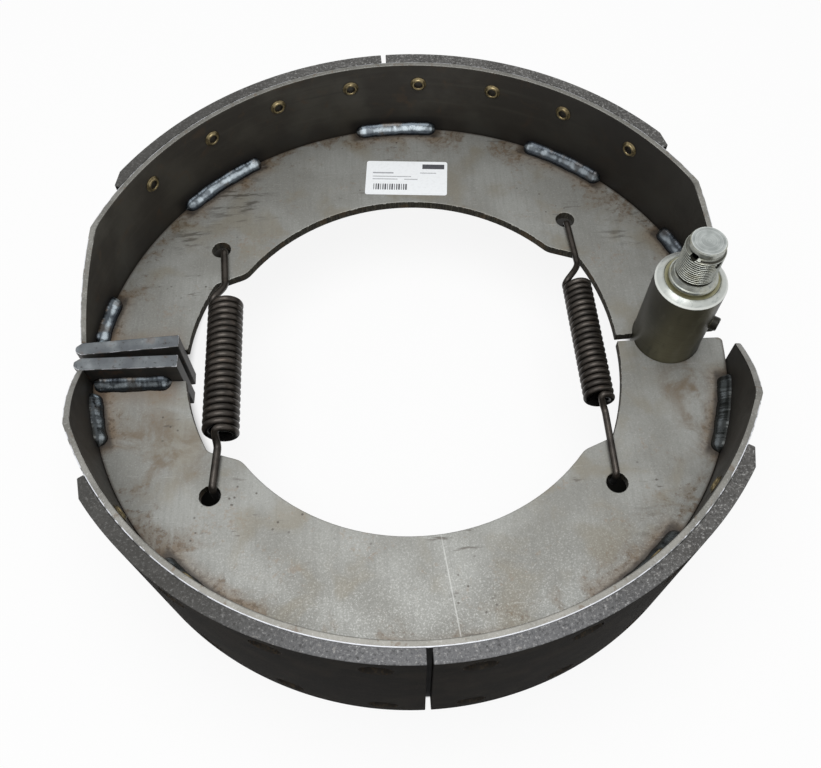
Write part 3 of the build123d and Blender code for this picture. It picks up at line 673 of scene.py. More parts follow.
def rivet_bore():
    """Painted shade inside the tubular rivets and the pockets for their heads: near black brown, with specks
    of dust.
    """
    bore = Finish("painted_shade_bore", "#1A1611", dust=(1.6, 3))
    bore.coat(("#3A3022", "dust", 0.45, 0.7))
    return bore.close(0.7, 0.3)


def sawn_bar_end():
    """Sawn ends of the hardened bar: blue-grey with dark flecks and a brown breath of rust."""
    bar = Finish("sawn_bar_steel", "#52565A", clouds=(11, 6), flecks=(2.1, 4, 0.7), rust=(6.7, 5))
    bar.coat(
        ("pad_top", "clouds", 0.38, 0.6), ("#82878A", "clouds", 0.56, 0.72, 0.7),
        ("#2D2A28", "flecks", 0.42, 0.32, 0.8), ("#5D4A3A", "rust", 0.56, 0.7, 0.4),
    )
    return bar.close(0.5, 0.3, "flecks", depth=0.15, strength=0.35)


def scaled_bar_side():
    """Forge scale on the bar's sides: near black, with a few rubbed and rusty places."""
    bar = Finish("forge_scale_bar_side", "pad_side", clouds=(12, 6), rust=(7, 6, 0.65))
    bar.coat(("#34312D", "clouds", 0.42, 0.68), ("#4B3727", "rust", 0.55, 0.68, 0.6))
    return bar.close(0.55, 0.2, "rust", depth=0.2)


def weld_bead_metal():
    """Gas-shielded weld metal: painted highlight along the crest, heat tint and painted shade at the toes,
    straw tint and glassy slag islands.
    """
    bead = Finish(
        "weld_bead_metal", "weld_toe", tint=(7.7, 4, 0.5, 0.5), straw=(10, 4), fine=(1.4, 3)
    )
    crest = bead.add("Attribute", {}, output="Fac", attribute_name="crest")
    inputs = {0: bead.patterns["tint"], 1: 0.8, 2: crest}
    uneven = bead.add("Math", inputs, operation="MULTIPLY_ADD")
    bead.coat(
        # Painted highlight along each bead's crest, over toes darkened by heat tint and painted shade
        ("#4A5157", uneven, 0.5, 1.0), ("weld", uneven, 1.15, 1.45),
        ("#4A4035", "straw", 0.54, 0.66, 0.6), ("#2C323A", "straw", 0.46, 0.36, 0.7),
        # Painted shade on the beads near the anchor pin and on the lower shoe
        ("#24282D", bead.x, 45 * MM, 120 * MM, 0.6), ("#3A3B36", bead.y, 10 * MM, -60 * MM, 0.5),
    )
    rough = ("tint", 0.35, 0.7, 0.34, 0.18, "LINEAR")
    return bead.close(rough, 0.75, "fine", depth=0.12, strength=0.2)


def oiled_pin_body():
    """Turned steel of the pin under an oil film, with painted shade at the sides and a painted highlight low
    in front.
    """
    body = Finish(
        "oiled_turned_steel", "pin_dark", film=(13, 6, 0.6, 0, (1, 1, 0.35)),
        turning=(0.5, 2, 0.5, 0, (0.03, 0.03, 1)),
    )
    axis = bpy.context.scene.brake_shoe.pin_distance
    beyond = bpy.context.scene.brake_pin.radius + 0.2 * MM
    facing = body.add("LayerWeight", {"Blend": 0.5}, output="Facing")
    body.coat(
        # Painted highlight where the body faces the view, stronger low down
        ("pin_light", facing, 0.9, 0.52, (body.z, 120 * MM, 70 * MM, 1.0, 0.45)),
        ("#2B291F", "film", 0.5, 0.66, 0.45), ("#8B8977", "film", 0.46, 0.34, 0.25),
        # Painted shade on the two flanks
        ("#26241D", body.apart(body.x, axis), 9 * MM, 18.5 * MM, 0.75),
        ("#23211A", "turning", 0.56, 0.7, 0.3),
        # The nipple in its side is darker
        ("#1D1B15", body.distance(axis), beyond, beyond + 0.3 * MM, 0.95),
    )
    return body.close(0.42, 0.3, "turning", strength=0.12, specular=0.25)


def zinc_plated_stud():
    """Zinc plate on cone, collar and thread: pale grey, with grime and painted shade in the thread's roots.
    """
    pin, axis = bpy.context.scene.brake_pin, bpy.context.scene.brake_shoe.pin_distance
    stud = Finish("zinc_plated_stud", "pin_zinc", clouds=(8.3, 5), mottle=(4.3, 4, 0.5, 0.6))
    radius, cone, thread = stud.distance(axis), pin.cone_radius, pin.thread_radius
    below_groove = (stud.z, pin.thread_end + 0.8 * MM, pin.thread_end, 0.95, 0.0, "LINEAR")
    on_stud = (radius, thread + MM, thread, 0.4, 0.0, "LINEAR")
    below_collar = (stud.z, pin.cone_top + 0.8 * MM, pin.cone_top, 0.8, 0.0, "LINEAR")
    facing = stud.add("LayerWeight", {"Blend": 0.5}, output="Facing")
    stud.coat(
        ("#83867F", "clouds", 0.42, 0.68), ("pin_olive", "clouds", 0.5, 0.36, 0.55),
        ("#BCC0BC", radius, cone + 0.3 * MM, cone + 1.9 * MM, 0.85),
        ("#868C8C", "mottle", 0.5, 0.64, 0.5),
        # Painted highlight on the cone's outer edge
        ("#DADDD8", radius, pin.radius - 1.4 * MM, pin.radius - 0.6 * MM, 0.8),
        # Grime and painted shade in the thread's roots, painted shade where the surface turns away from view
        # and on the stud's left side
        ("#35332A", radius, thread - 0.1 * MM, thread - 0.55 * MM, below_groove),
        ("#4A493F", facing, 0.65, 0.98, 0.5),
        ("#4E4F46", stud.x, axis - 1 * MM, axis - 9 * MM, on_stud),
        # Yellow passivation in the corner under the collar, and painted shade inside the cross holes
        ("#7D7850", radius, cone + 0.4 * MM, cone - 0.4 * MM, below_collar),
        ("#12110E", radius, pin.groove_radius - 0.2 * MM, pin.groove_radius - 0.9 * MM, 0.95),
    )
    return stud.close(0.28, 0.55, "clouds", depth=0.08, strength=0.15)


def faced_stud_end():
    """The stud's faced end: zinc with the fine rings of the turning tool."""
    end = Finish("faced_stud_end", "#8C918F", clouds=(6.7, 4))
    radius = end.distance(bpy.context.scene.brake_shoe.pin_distance)
    rings = end.add("CombineXYZ", {"X": radius})
    rings = end.add("TexNoise", {"Vector": rings, "Scale": 1 / (0.67 * MM), "Detail": 2.0})
    rim = bpy.context.scene.brake_pin.end_radius
    end.coat(
        ("#A5AAA8", "clouds", 0.38, 0.66), ("#5F6462", rings, 0.55, 0.72, 0.6),
        ("#C6CBC9", rings, 0.45, 0.3, 0.6),
        ("#CBCFCC", radius, rim - 1.3 * MM, rim - 0.7 * MM, 0.7),
    )
    return end.close(0.42, 0.35, rings, depth=0.06)


def oiled_spring_wire():
    """Patented spring wire with a thin oil film: dark brown-grey, glossy on top of every turn."""
    wire = Finish("oiled_spring_wire", "spring", film=(8.3, 5), rust=(3.8, 4))
    top = web_top()
    deep = wire.value((wire.z, top + 1.5 * MM, top - 0.5 * MM, 1.0, 0.0, "LINEAR"))
    outer = wire.add("Attribute", {}, output="Fac", attribute_name="outer")
    wire.coat(
        ("#27231F", "film", 0.4, 0.66), ("#4C3D31", "rust", 0.6, 0.72, 0.3),
        # Painted shade in the valleys between the turns
        ("#0E0D0B", outer, 0.75, 0.25, 0.9),
        # The hooks are dull inside the holes, with painted shade on them there
        ("#0B0A09", deep, 0.0, 1.0, 0.95),
    )
    rough = wire.value(("film", *MIDDLE, 0.38, 0.26, "LINEAR"))
    return wire.close(wire.add("Math", {0: rough, 1: deep}, operation="MAXIMUM"), 0.6)


def label_paper():
    """Coated white label paper, slightly glossy."""
    paper = Finish("coated_label_paper", "paper", fibre=(2, 4))
    paper.coat(("#E4E6E8", "fibre", 0.45, 0.75, 0.4))
    return paper.close(0.45, 0.0)


def label_ink():
    """Thermal print in plain dark fields, a little uneven."""
    ink = Finish("label_print_dark", "ink", patchy=(1.1, 3))
    ink.coat(("#77777B", "patchy", 0.5, 0.75, 0.35))
    return ink.close(0.5, 0.0)


def label_grey_ink():
    """Faint thermal print in plain lines."""
    ink = Finish("label_print_faint", "ink_grey", patchy=(1.1, 3))
    ink.coat(("#C9CBCE", "patchy", 0.45, 0.7, 0.6))
    return ink.close(0.5, 0.0)


def white_rays(tree):
    """1 for the rays that see the background white: from the camera, mirrored or through glass."""
    seen = 0.0
    for ray in ("Is Camera Ray", "Is Glossy Ray", "Is Transmission Ray"):
        path = add_node(tree, "LightPath", {}, output=ray)
        seen = add_node(tree, "Math", {0: path, 1: seen}, operation="MAXIMUM")
    return seen


def studio_floor():
    """A pale floor that the camera sees nearly white, in deep shade under the webs."""
    floor = Finish("pale_studio_floor", "floor")
    x, y, reach = (value * MM for value in FLOOR_LIT)
    lit, dark = (value * MM for value in CAM_SIDE_LIT)
    ring = rim_inner()
    inside = (floor.distance(), ring, ring - MM, (floor.x, lit, dark), 0.0, "LINEAR")
    shaded = floor.value((floor.distance(x, y), reach, reach + 10 * MM, inside))
    floor.coat(("floor_shade", shaded, 0.0, 1.0))
    matt = floor.add("BsdfDiffuse", {"Color": floor.base})
    glow = floor.add("Emission", {"Color": (1, 1, 1, 1), "Strength": 1.0})
    bright = floor.add("Math", {0: shaded, 1: -0.9, 2: 0.9}, operation="MULTIPLY_ADD")
    glowing = floor.add("Math", {0: white_rays(floor.tree), 1: bright}, operation="MULTIPLY")
    seen = floor.add("MixShader", {0: glowing, 1: matt, 2: glow})
    floor.add("OutputMaterial", {"Surface": seen})
    return floor.material


@cache
def finish_of(maker):
    """A finish is made once and then shared."""
    return maker()


# Pieces


class BRAKE_OT_webs(bpy.types.Operator):
    """Dresses the flat webs of both shoes"""

    bl_idname = "brake.webs"
    bl_label = "Webs"

    def execute(self, context):
        makers = (pickled_steel_plate, flame_cut_edge)
        for _, half in SIDES:
            node = half + "_web"
            bm = cad_copy(node)
            soften(bm, WEB_BREAK * MM)
            for face in bm.faces:
                face.material_index = 0 if abs(face.normal.z) > 0.9 else 1
            make_piece(bm, node, "plate", makers, half + "_shoe")
        return {"FINISHED"}


def spun_bar(inner, outer, width, stops):
    """A bar of rectangular section bent round the drum's axis, with points at each stop."""
    bm = bmesh.new()
    corners = ((inner, 0), (outer, 0), (outer, width), (inner, width))
    start = stops[0][0]
    verts = [bm.verts.new(polar(radius, start, height)) for radius, height in corners]
    last = with_edges(bm.faces.new(verts))
    for (angle, _), (following, steps) in zip(stops, stops[1:]):
        last = spin(bm, last, radians(following - angle), steps)
    bmesh.ops.remove_doubles(bm, verts=bm.verts, dist=SAME_POINT * MM)
    inside = [face for face in bm.faces if all(len(edge.link_faces) > 2 for edge in face.edges)]
    bmesh.ops.delete(bm, geom=inside, context="FACES_ONLY")
    face_out(bm)
    return bm


def outward(face):
    """How far a face's normal points out from the drum's axis."""
    middle = face.calc_center_median()
    return face.normal.dot(Vector((middle.x, middle.y, 0)).normalized())


class BRAKE_OT_rims(bpy.types.Operator):
    """Rolls both rims, with their tapered ends"""

    bl_idname = "brake.rims"
    bl_label = "Rims"

    def execute(self, context):
        shoe = context.scene.brake_shoe
        makers = (mill_scale_plate, sheared_edge, rubbed_arris)
        inner, outer, width = rim_inner(), rim_radius(), shoe.shoe_width
        start, full_start, full_end, end = RIM_ANGLES
        low_start = outer * sin(radians(start))
        high_start = outer * sin(radians(full_start))
        high_end = outer * sin(radians(full_end))
        stops = ((start, 0), (full_start, 10), (full_end, 84), (end, 10))
        for side, half in SIDES:
            bm = spun_bar(inner, outer, width, stops)
            for vert in bm.verts:
                if vert.co.x > 0:
                    share = (vert.co.y - low_start) / (high_start - low_start)
                else:
                    share = (vert.co.y - shoe.pad_top) / (high_end - shoe.pad_top)
                reach = width / 2 - (width - shoe.rim_end_height) * (1 - min(max(share, 0.0), 1.0))
                vert.co.z = width / 2 + (reach if vert.co.z > width / 2 else -reach)
            soften(bm, RIM_BREAK * MM, over=50)
            for face in bm.faces:
                out = outward(face)
                face.material_index = 0 if abs(out) > 0.9 else 1
                # The sloped faces along the rim's outer top edge get the painted highlight
                if face.normal.z > 0.2 and out > 0.2:
                    face.material_index = 2
            place_on_shoe(bm, side)
            make_piece(bm, half + "_rim", "plate", makers, half + "_shoe")
        return {"FINISHED"}


def rivet_frame(angle, row):
    """Where a rivet sits on the upper shoe: on the rim's inner wall, with Z straight out."""
    out = polar(1, angle)
    up = Vector((0, 0, 1))
    turned = Matrix((up, out.cross(up), out)).transposed().to_4x4()
    return Matrix.Translation(polar(rim_inner(), angle, row)) @ turned


def rivet_rows():
    in_from_edge = bpy.context.scene.brake_rivet.edge_distance
    return in_from_edge, bpy.context.scene.brake_shoe.shoe_width - in_from_edge


class BRAKE_OT_linings(bpy.types.Operator):
    """Moulds the four linings, with bevelled ends and pockets for the rivet heads"""

    bl_idname = "brake.linings"
    bl_label = "Linings"

    def execute(self, context):
        shoe, rivet = context.scene.brake_shoe, context.scene.brake_rivet
        makers = (sawn_lining_edge, turned_lining_face, rivet_bore)
        inner = rim_radius() + shoe.lining_seat
        half_gap = degrees(shoe.lining_gap / 2 / rim_radius())
        start, split, end = LINING_ANGLES
        to_face = Matrix.Translation((0, 0, shoe.drum_radius - rim_inner()))
        pin_side = ((start, 0), (start + BEVEL_ANGLE, 1), (split - half_gap, 48))
        cam_side = ((split + half_gap, 0), (end - BEVEL_ANGLE, 48), (end, 1))
        plans = (
            ("pin", start, pin_side, RIVET_ANGLES[:4]), ("cam", end, cam_side, RIVET_ANGLES[4:]),
        )
        for side, half in SIDES:
            for where, tip, stops, angles in plans:
                bm = spun_bar(inner, shoe.drum_radius, shoe.shoe_width, stops)
                for vert in bm.verts:
                    off = vert.co.xy.length
                    ahead = polar(1, tip).xy.angle(vert.co.xy)
                    if ahead < radians(0.5) and off > shoe.drum_radius - MM:
                        vert.co.xy *= (shoe.drum_radius - shoe.bevel_depth) / off
                soften(bm, LINING_BREAK * MM, segments=1, over=20)
                pockets = bmesh.new()
                for angle in angles:
                    for row in rivet_rows():
                        place = rivet_frame(angle, row) @ to_face
                        depth = 2 * rivet.counterbore_depth
                        add_rod(pockets, rivet.counterbore_radius, depth, place, 40)
                bm = cut(bm, pockets)
                bm.normal_update()
                for face in bm.faces:
                    middle = face.calc_center_median()
                    from_edge = min(middle.z, shoe.shoe_width - middle.z)
                    within = inner + MM < middle.xy.length < shoe.drum_radius - 0.8 * MM
                    upright = abs(face.normal.z) < 0.1 and len(face.verts) < 8
                    on_end = upright and abs(outward(face)) < 0.5
                    face.material_index = 1
                    if from_edge < 0.5 * MM:
                        face.material_index = 0
                    # The pockets for the rivet heads get painted shade
                    elif from_edge > 2 * MM and within and not on_end:
                        face.material_index = 2
                place_on_shoe(bm, side)
                node = f"{half}_{where}_lining"
                make_piece(bm, node, "block", makers, half + "_shoe", 25)
        return {"FINISHED"}


def turned_shape(rows, steps):
    """A shape turned on a lathe. A row is a radius, what is added in mm, and a height alike."""
    bm = bmesh.new()
    points = [(radius + out * MM, 0, height + up * MM) for radius, out, height, up in rows]
    verts = [bm.verts.new(point) for point in points]
    edges = [bm.edges.new(pair) for pair in zip(verts, verts[1:])]
    spin(bm, verts + edges, tau, steps, merge=True)
    bmesh.ops.remove_doubles(bm, verts=bm.verts, dist=0.005 * MM)
    face_out(bm)
    return bm


class BRAKE_OT_rivets(bpy.types.Operator):
    """Sets the tubular rivets: a flat head in the lining and a rolled end on the rim"""

    bl_idname = "brake.rivets"
    bl_label = "Rivets"

    def execute(self, context):
        shoe, rivet = context.scene.brake_shoe, context.scene.brake_rivet
        seat = shoe.drum_radius - rivet.counterbore_depth - rim_inner()
        head_top = seat + rivet.head_thickness
        bore, roll, rise = rivet.bore_radius, rivet.roll_radius, rivet.roll_height
        head = rivet.head_radius
        profile = (
            (0, 0, head_top, -0.5), (bore, 0, head_top, -0.5), (bore, 0.5, head_top, 0),
            (head, -0.3, head_top, 0), (head, 0, head_top, -0.3), (head, 0, seat, 0.02),
            (bore, 1.2, seat, 0.02), (bore, 1.2, 0, -0.1),
            (roll, 0, 0, -0.1), (roll, 0.05, 0, -0.4), (roll, -0.3, 0, -0.75),
            (roll, -0.85, 0, -0.9), (roll, -1.05, 0, -1.25), (roll, -1.25, -rise, 0.15),
            (roll, -1.6, -rise, 0), (bore, 0.4, -rise, 0.05), (bore, 0.08, -rise, 0.35),
            (bore, 0, -rise, 0.8), (bore, 0, seat, -1.5), (0, 0, seat, -1.5),
        )
        for side, half in SIDES:
            joined = bmesh.new()
            for number, angle in enumerate(RIVET_ANGLES):
                for row in rivet_rows():
                    single = turned_shape(profile, 24)
                    for face in single.faces:
                        middle = face.calc_center_median()
                        in_bore = middle.xy.length < bore + 0.02 * MM
                        below_head = 0.7 * MM - rise < middle.z < seat
                        # The bore below the head gets painted shade
                        face.material_index = 1 if in_bore and below_head else 0
                    fresh = join_into(joined, single)
                    turned = Matrix.Rotation(number * 1.3 + row * 40, 4, "Z")
                    place = rivet_frame(angle, row) @ turned
                    bmesh.ops.transform(joined, matrix=place, verts=fresh)
            place_on_shoe(joined, side)
            makers = (rolled_brass, rivet_bore)
            make_piece(joined, half + "_rivets", "brass", makers, half + "_shoe", 50)
        return {"FINISHED"}


class BRAKE_OT_cam_pads(bpy.types.Operator):
    """Dresses the flat bars that the cam pushes on"""

    bl_idname = "brake.cam_pads"
    bl_label = "Cam pads"

    def execute(self, context):
        makers = (sawn_bar_end, scaled_bar_side, rubbed_arris)
        for _, half in SIDES:
            node = half + "_cam_pad"
            bm = cad_copy(node)
            soften(bm, PAD_BREAK * MM, over=20)
            for face in bm.faces:
                if face.normal.z > 0.9:
                    face.material_index = 0
                # The sloped faces of the broken edges get the painted highlight
                elif face.normal.z > 0.25:
                    face.material_index = 2
                else:
                    face.material_index = 1
            make_piece(bm, node, "bar", makers, half + "_shoe")
        return {"FINISHED"}


def bead_fullness(along, total, ripple, seed):
    """How full a weld bead is at a place along it: rounded ends, faint ripples, slow swelling."""
    taper = min(along, total - along) / (5.0 * MM)
    ends = sqrt(max(0.0, 1 - (1 - min(taper, 1.0)) ** 2))
    ripples = abs(sin(pi * (along / ripple + 0.3 * sin(along * 800 + seed))))
    swelling = sin(along * 260 + seed * 2.1) + 0.6 * sin(along * 610 + seed * 5.3)
    return max(ends * (0.95 + 0.02 * ripples + 0.03 * swelling), 0.04)


def straight_bead(total, leg, ripple, seed, points=11):
    """A bead with a full face along X, in the corner between the planes Y = 0 and Z = 0."""
    bm = bmesh.new()
    crest = bm.verts.layers.float.new("crest")
    outline = []
    for i in range(points):
        turn = radians(90 * i / (points - 1))
        reach = leg * (1 - 0.13 * sin(2 * turn) ** 2)
        outline.append(bm.verts.new((0, reach * cos(turn), reach * sin(turn))))
        outline[-1][crest] = sin(2 * turn)
    section = with_edges(bm.faces.new([*outline, bm.verts.new((0, 0, 0))]))
    steps = int(total / (0.6 * MM))
    spin(bm, section, 0.0, steps, axis=(1, 0, 0), rise=(total / steps, 0, 0))
    bmesh.ops.remove_doubles(bm, verts=bm.verts, dist=0.002 * MM)
    for vert in bm.verts:
        vert.co.yz *= bead_fullness(min(max(vert.co.x, 0.0), total), total, ripple, seed)
    return bm


class BRAKE_OT_welds(bpy.types.Operator):
    """Lays the weld beads between rim, web and cam pad"""

    bl_idname = "brake.welds"
    bl_label = "Welds"

    def execute(self, context):
        weld = context.scene.brake_weld
        # The beads stand this little off the rim's wall and the pad's back
        radius = rim_inner() - 0.03 * MM
        pad_top = context.scene.brake_shoe.pad_top + 0.02 * MM
        start, end = (value * MM for value in PAD_WELD)

        def on_rim(first, along, across):
            return polar(radius - across, first + degrees(along / radius))

        def on_pad(first, along, across):
            return Vector((first + along, pad_top + across, 0))

        # Where each bead starts, its length and what varies it
        rim_beads = [
            (first, radius * radians(last - first), 1.7 * number)
            for number, (first, last) in enumerate(RIM_WELDS)
        ]
        rows = (("rim", on_rim, rim_beads), ("pad", on_pad, [(start, end - start, 4.2)]))
        for side, half in SIDES:
            for where, place, beads in rows:
                joined = bmesh.new()
                joined.verts.layers.float.new("crest")
                for first, total, seed in beads:
                    for up, plate in ((1, web_top()), (-1, web_bottom())):
                        bead = straight_bead(total, weld.leg, weld.ripple, seed + side + up)
                        for vert in join_into(joined, bead):
                            along, across, lift = vert.co
                            vert.co = place(first, along, across)
                            vert.co.z = plate + up * lift
                face_out(joined)
                place_on_shoe(joined, side)
                node, makers = f"{half}_{where}_welds", (weld_bead_metal,)
                make_piece(joined, node, "beads", makers, half + "_shoe", 70)
        return {"FINISHED"}


def point_along(direction):
    """Turns Z to a direction."""
    return Vector((0, 0, 1)).rotation_difference(direction).to_matrix().to_4x4()


class BRAKE_OT_anchor_pin(bpy.types.Operator):
    """Turns the anchor pin with its collar, thread, groove and cross holes"""

    bl_idname = "brake.anchor_pin"
    bl_label = "Anchor pin"

    def execute(self, context):
        shoe, pin = context.scene.brake_shoe, context.scene.brake_pin
        thread, collar, cone = pin.thread_radius, pin.collar_radius, pin.cone_radius
        root, end = thread - pin.thread_depth, pin.end_radius
        profile = (
            (0, 0, pin.foot, 0), (pin.radius, -1.0, pin.foot, 0), (pin.radius, 0, pin.foot, 1.0),
            (pin.radius, 0, pin.body_top, -0.3), (pin.radius, -0.35, pin.body_top, 0.1),
            (cone, 0.6, pin.cone_top, -0.45), (cone, 0, pin.cone_top, -0.9),
            (collar, -0.6, pin.cone_top, -0.9), (collar, -0.8, pin.cone_top, -0.4),
            (collar, -0.2, pin.cone_top, 0.2), (collar, 0, pin.cone_top, 0.8),
            (collar, 0, pin.collar_top, -1.0), (collar, -0.3, pin.collar_top, -0.4),
            (collar, -0.9, pin.collar_top, 0), (thread, 0.5, pin.thread_start, -0.5),
            (root, 0, pin.thread_start, -0.2), (root, 0, pin.thread_end, 0),
            (pin.groove_radius, 0, pin.thread_end, 0.6), (pin.groove_radius, 0, pin.top, -3.0),
            (end, 0, pin.top, -2.8), (end, 0, pin.top, -0.7), (end, -0.6, pin.top, 0),
            (0, 0, pin.top, 0),
        )
        core = turned_shape(profile, 96)
        ridge = bmesh.new()
        turns = (pin.thread_end - pin.thread_start) / pin.thread_pitch - 0.6
        flank = pin.thread_pitch / 2 - 0.03 * MM
        low = pin.thread_start + 0.1 * MM + flank
        corners = (
            (root - 0.25 * MM, low - flank), (thread, low - 0.12 * MM),
            (thread, low + 0.12 * MM), (root - 0.25 * MM, low + flank),
        )
        verts = [ridge.verts.new((radius, 0, height)) for radius, height in corners]
        steps = int(turns * 60)
        rise = (0, 0, pin.thread_pitch * turns / steps)
        spin(ridge, with_edges(ridge.faces.new(verts)), tau * turns, steps, rise=rise)
        face_out(ridge)
        joined = bmesh.new()
        for bm in (core, ridge):
            holes = bmesh.new()
            for azimuth, height in CROSS_HOLES:
                place = Matrix.Translation((0, 0, height * MM)) @ point_along(polar(1, azimuth))
                add_rod(holes, pin.cross_hole_radius, 4 * thread, place, 24)
            join_into(joined, cut(bm, holes))
        joined.normal_update()
        for face in joined.faces:
            centre = face.calc_center_median()
            if centre.z > pin.top - 0.05 * MM:
                face.material_index = 2
            else:
                face.material_index = 1 if centre.z > pin.body_top - 0.25 * MM else 0
        bmesh.ops.translate(joined, vec=(shoe.pin_distance, 0, 0), verts=joined.verts)
        makers = (oiled_pin_body, zinc_plated_stud, faced_stud_end)
        make_piece(joined, "anchor_pin", "turned", makers, "anchor_pin", 28)
        side, tip = pin.nipple_radius, pin.nipple_tip - pin.radius
        profile = (
            (0, 0, 0, -2), (side, 0, 0, -2), (side, 0, tip, -0.6), (side, -0.6, tip, 0),
            (0, 1.8, tip, 0), (0, 1.4, tip, -1.6), (0, 0, tip, -1.6),
        )
        nipple = turned_shape(profile, 32)
        out = polar(1, NIPPLE_AZIMUTH)
        seat = Vector((shoe.pin_distance, 0, pin.nipple_height)) + out * pin.radius
        place = Matrix.Translation(seat) @ point_along(out)
        bmesh.ops.transform(nipple, matrix=place, verts=nipple.verts)
        make_piece(nipple, "grease_nipple", "turned", makers[:1], "anchor_pin")
        return {"FINISHED"}


def ring_centre(ring):
    verts = {vert for edge in ring for vert in edge.verts}
    return sum((vert.co for vert in verts), Vector()) / len(verts)


def run_wire(bm, ring, points):
    """Draws a wire's ring of edges along points, turning it to face the way it goes."""
    outer = bm.verts.layers.float["outer"]
    heading = None
    for here, there in zip(points, points[1:]):
        step = there - here
        made = bmesh.ops.extrude_edge_only(bm, edges=ring)["geom"]
        verts = [item for item in made if isinstance(item, bmesh.types.BMVert)]
        fresh = set(verts)
        edges = [item for item in made if isinstance(item, bmesh.types.BMEdge)]
        ring = [edge for edge in edges if edge.verts[0] in fresh and edge.verts[1] in fresh]
        bmesh.ops.translate(bm, verts=verts, vec=step)
        for vert in verts:
            vert[outer] = min(vert[outer] + 0.1, 1.0)
        if heading is not None:
            turn = heading.rotation_difference(step.normalized()).to_matrix()
            bmesh.ops.rotate(bm, verts=verts, cent=there, matrix=turn)
        heading = step.normalized()
    return ring


def spread_turns(start, end, count):
    return [radians(start + (end - start) * i / (count - 1)) for i in range(count)]


def hook_path(centre, tangent, knee, hook, wire, drop):
    """From the coil's last turn over the knee to the hole, down through it and under the web."""
    arm = (hook - knee).normalized()
    down = Vector((0, 0, -1))
    bend, curl = wire * 0.62, wire * 0.95
    leaves, comes = centre + tangent * wire * 1.7, knee - arm * wire * 1.3
    points = list(interpolate_bezier(centre, leaves, comes, knee, 16))
    for turn in spread_turns(0, 90, 7):
        points.append(hook + arm * bend * (sin(turn) - 1) + down * bend * (1 - cos(turn)))
    points.append(points[-1] + down * drop)
    below = points[-1]
    for turn in spread_turns(15, 105, 7):
        points.append(below - arm * curl * (1 - cos(turn)) + down * curl * sin(turn))
    points.append(points[-1] - arm * 4 * MM)
    return points


def wind_spring(axis_x, height, top, bottom, wire, outer, ends, turns):
    """A close-wound coil along Y with a hook at each end. Ends and turns are upper, then lower."""
    bm = bmesh.new()
    outer_side = bm.verts.layers.float.new("outer")
    mean = (outer - wire) / 2
    pitch = (top - bottom - wire) / sum(turns)
    start_y = top - wire / 2 - pitch * turns[0]
    for up, (knee, hook), count in zip((1, -1), ends, turns):
        steps = int(count * 30)
        place = Matrix.Translation((axis_x, start_y, height + mean))
        place = place @ Matrix.Rotation(radians(90), 4, "Y")
        circle = bmesh.ops.create_circle(
            bm, cap_ends=False, segments=14, radius=wire / 2, matrix=place
        )["verts"]
        for vert in circle:
            vert[outer_side] = max((vert.co.z - height - mean) / (wire / 2), 0.0)
        edges = list({edge for vert in circle for edge in vert.link_edges})
        rise = (0, up * pitch * count / steps, 0)
        last = spin(bm, edges, tau * count, steps, (0, up, 0), rise, (axis_x, start_y, height))
        ring = [item for item in last if isinstance(item, bmesh.types.BMEdge)]
        centre = ring_centre(ring)
        from_axis = Vector((centre.x - axis_x, 0, centre.z - height))
        tangent = Vector((0, up, 0)).cross(from_axis).normalized()
        drop = bpy.context.scene.brake_shoe.web_thickness
        path = hook_path(centre, tangent, knee, hook, wire, drop)
        bmesh.ops.edgeloop_fill(bm, edges=run_wire(bm, ring, path))
    bmesh.ops.remove_doubles(bm, verts=bm.verts, dist=0.004 * MM)
    face_out(bm)
    return bm


class BRAKE_OT_springs(bpy.types.Operator):
    """Winds both return springs and hooks them through the webs"""

    bl_idname = "brake.springs"
    bl_label = "Return springs"

    def execute(self, context):
        spring = context.scene.brake_spring
        height = web_top() + spring.cam_wire / 2 + spring.play
        # Coil axis, top and bottom and the hole in mm, then knees, leans and turns of the two ends
        plans = (
            (
                "left_return_spring", spring.cam_wire, spring.cam_outer,
                (-111.0, 44.0, -51.5), (-116.05, 85.6),
                ((-112.2, 57.0), (-112.4, 59.0)), ((0.7, -0.71), (0.5, -0.86)), (10.75, 9.95),
            ),
            (
                "right_return_spring", spring.pin_wire, spring.pin_outer,
                (107.0, 42.0, -45.0), (108.57, 93.75),
                ((110.1, 56.7), (109.0, 52.0)), ((0.03, -1.0), (-0.05, -1.0)), (10.75, 9.93),
            ),
        )
        for name, wire, outer, coil, hole, knees, leans, turns in plans:
            over = web_top() + wire / 2 + spring.play
            reach = SPRING_HOLE_RADIUS * MM - spring.play - wire / 2
            ends = []
            for up, knee, lean in zip((1, -1), knees, leans):
                hook = (hole[0] * MM + reach * lean[0], up * (hole[1] * MM + reach * lean[1]), over)
                ends.append((Vector((knee[0] * MM, up * knee[1] * MM, over)), Vector(hook)))
            axis_x, top, bottom = (value * MM for value in coil)
            bm = wind_spring(axis_x, height, top, bottom, wire, outer, ends, turns)
            piece = make_piece(bm, name, "wound", (oiled_spring_wire,), None, 60)
            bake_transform(piece, "lower_shoe", "upper_shoe", tuple(ends[1][1]), tuple(ends[0][1]))
        return {"FINISHED"}


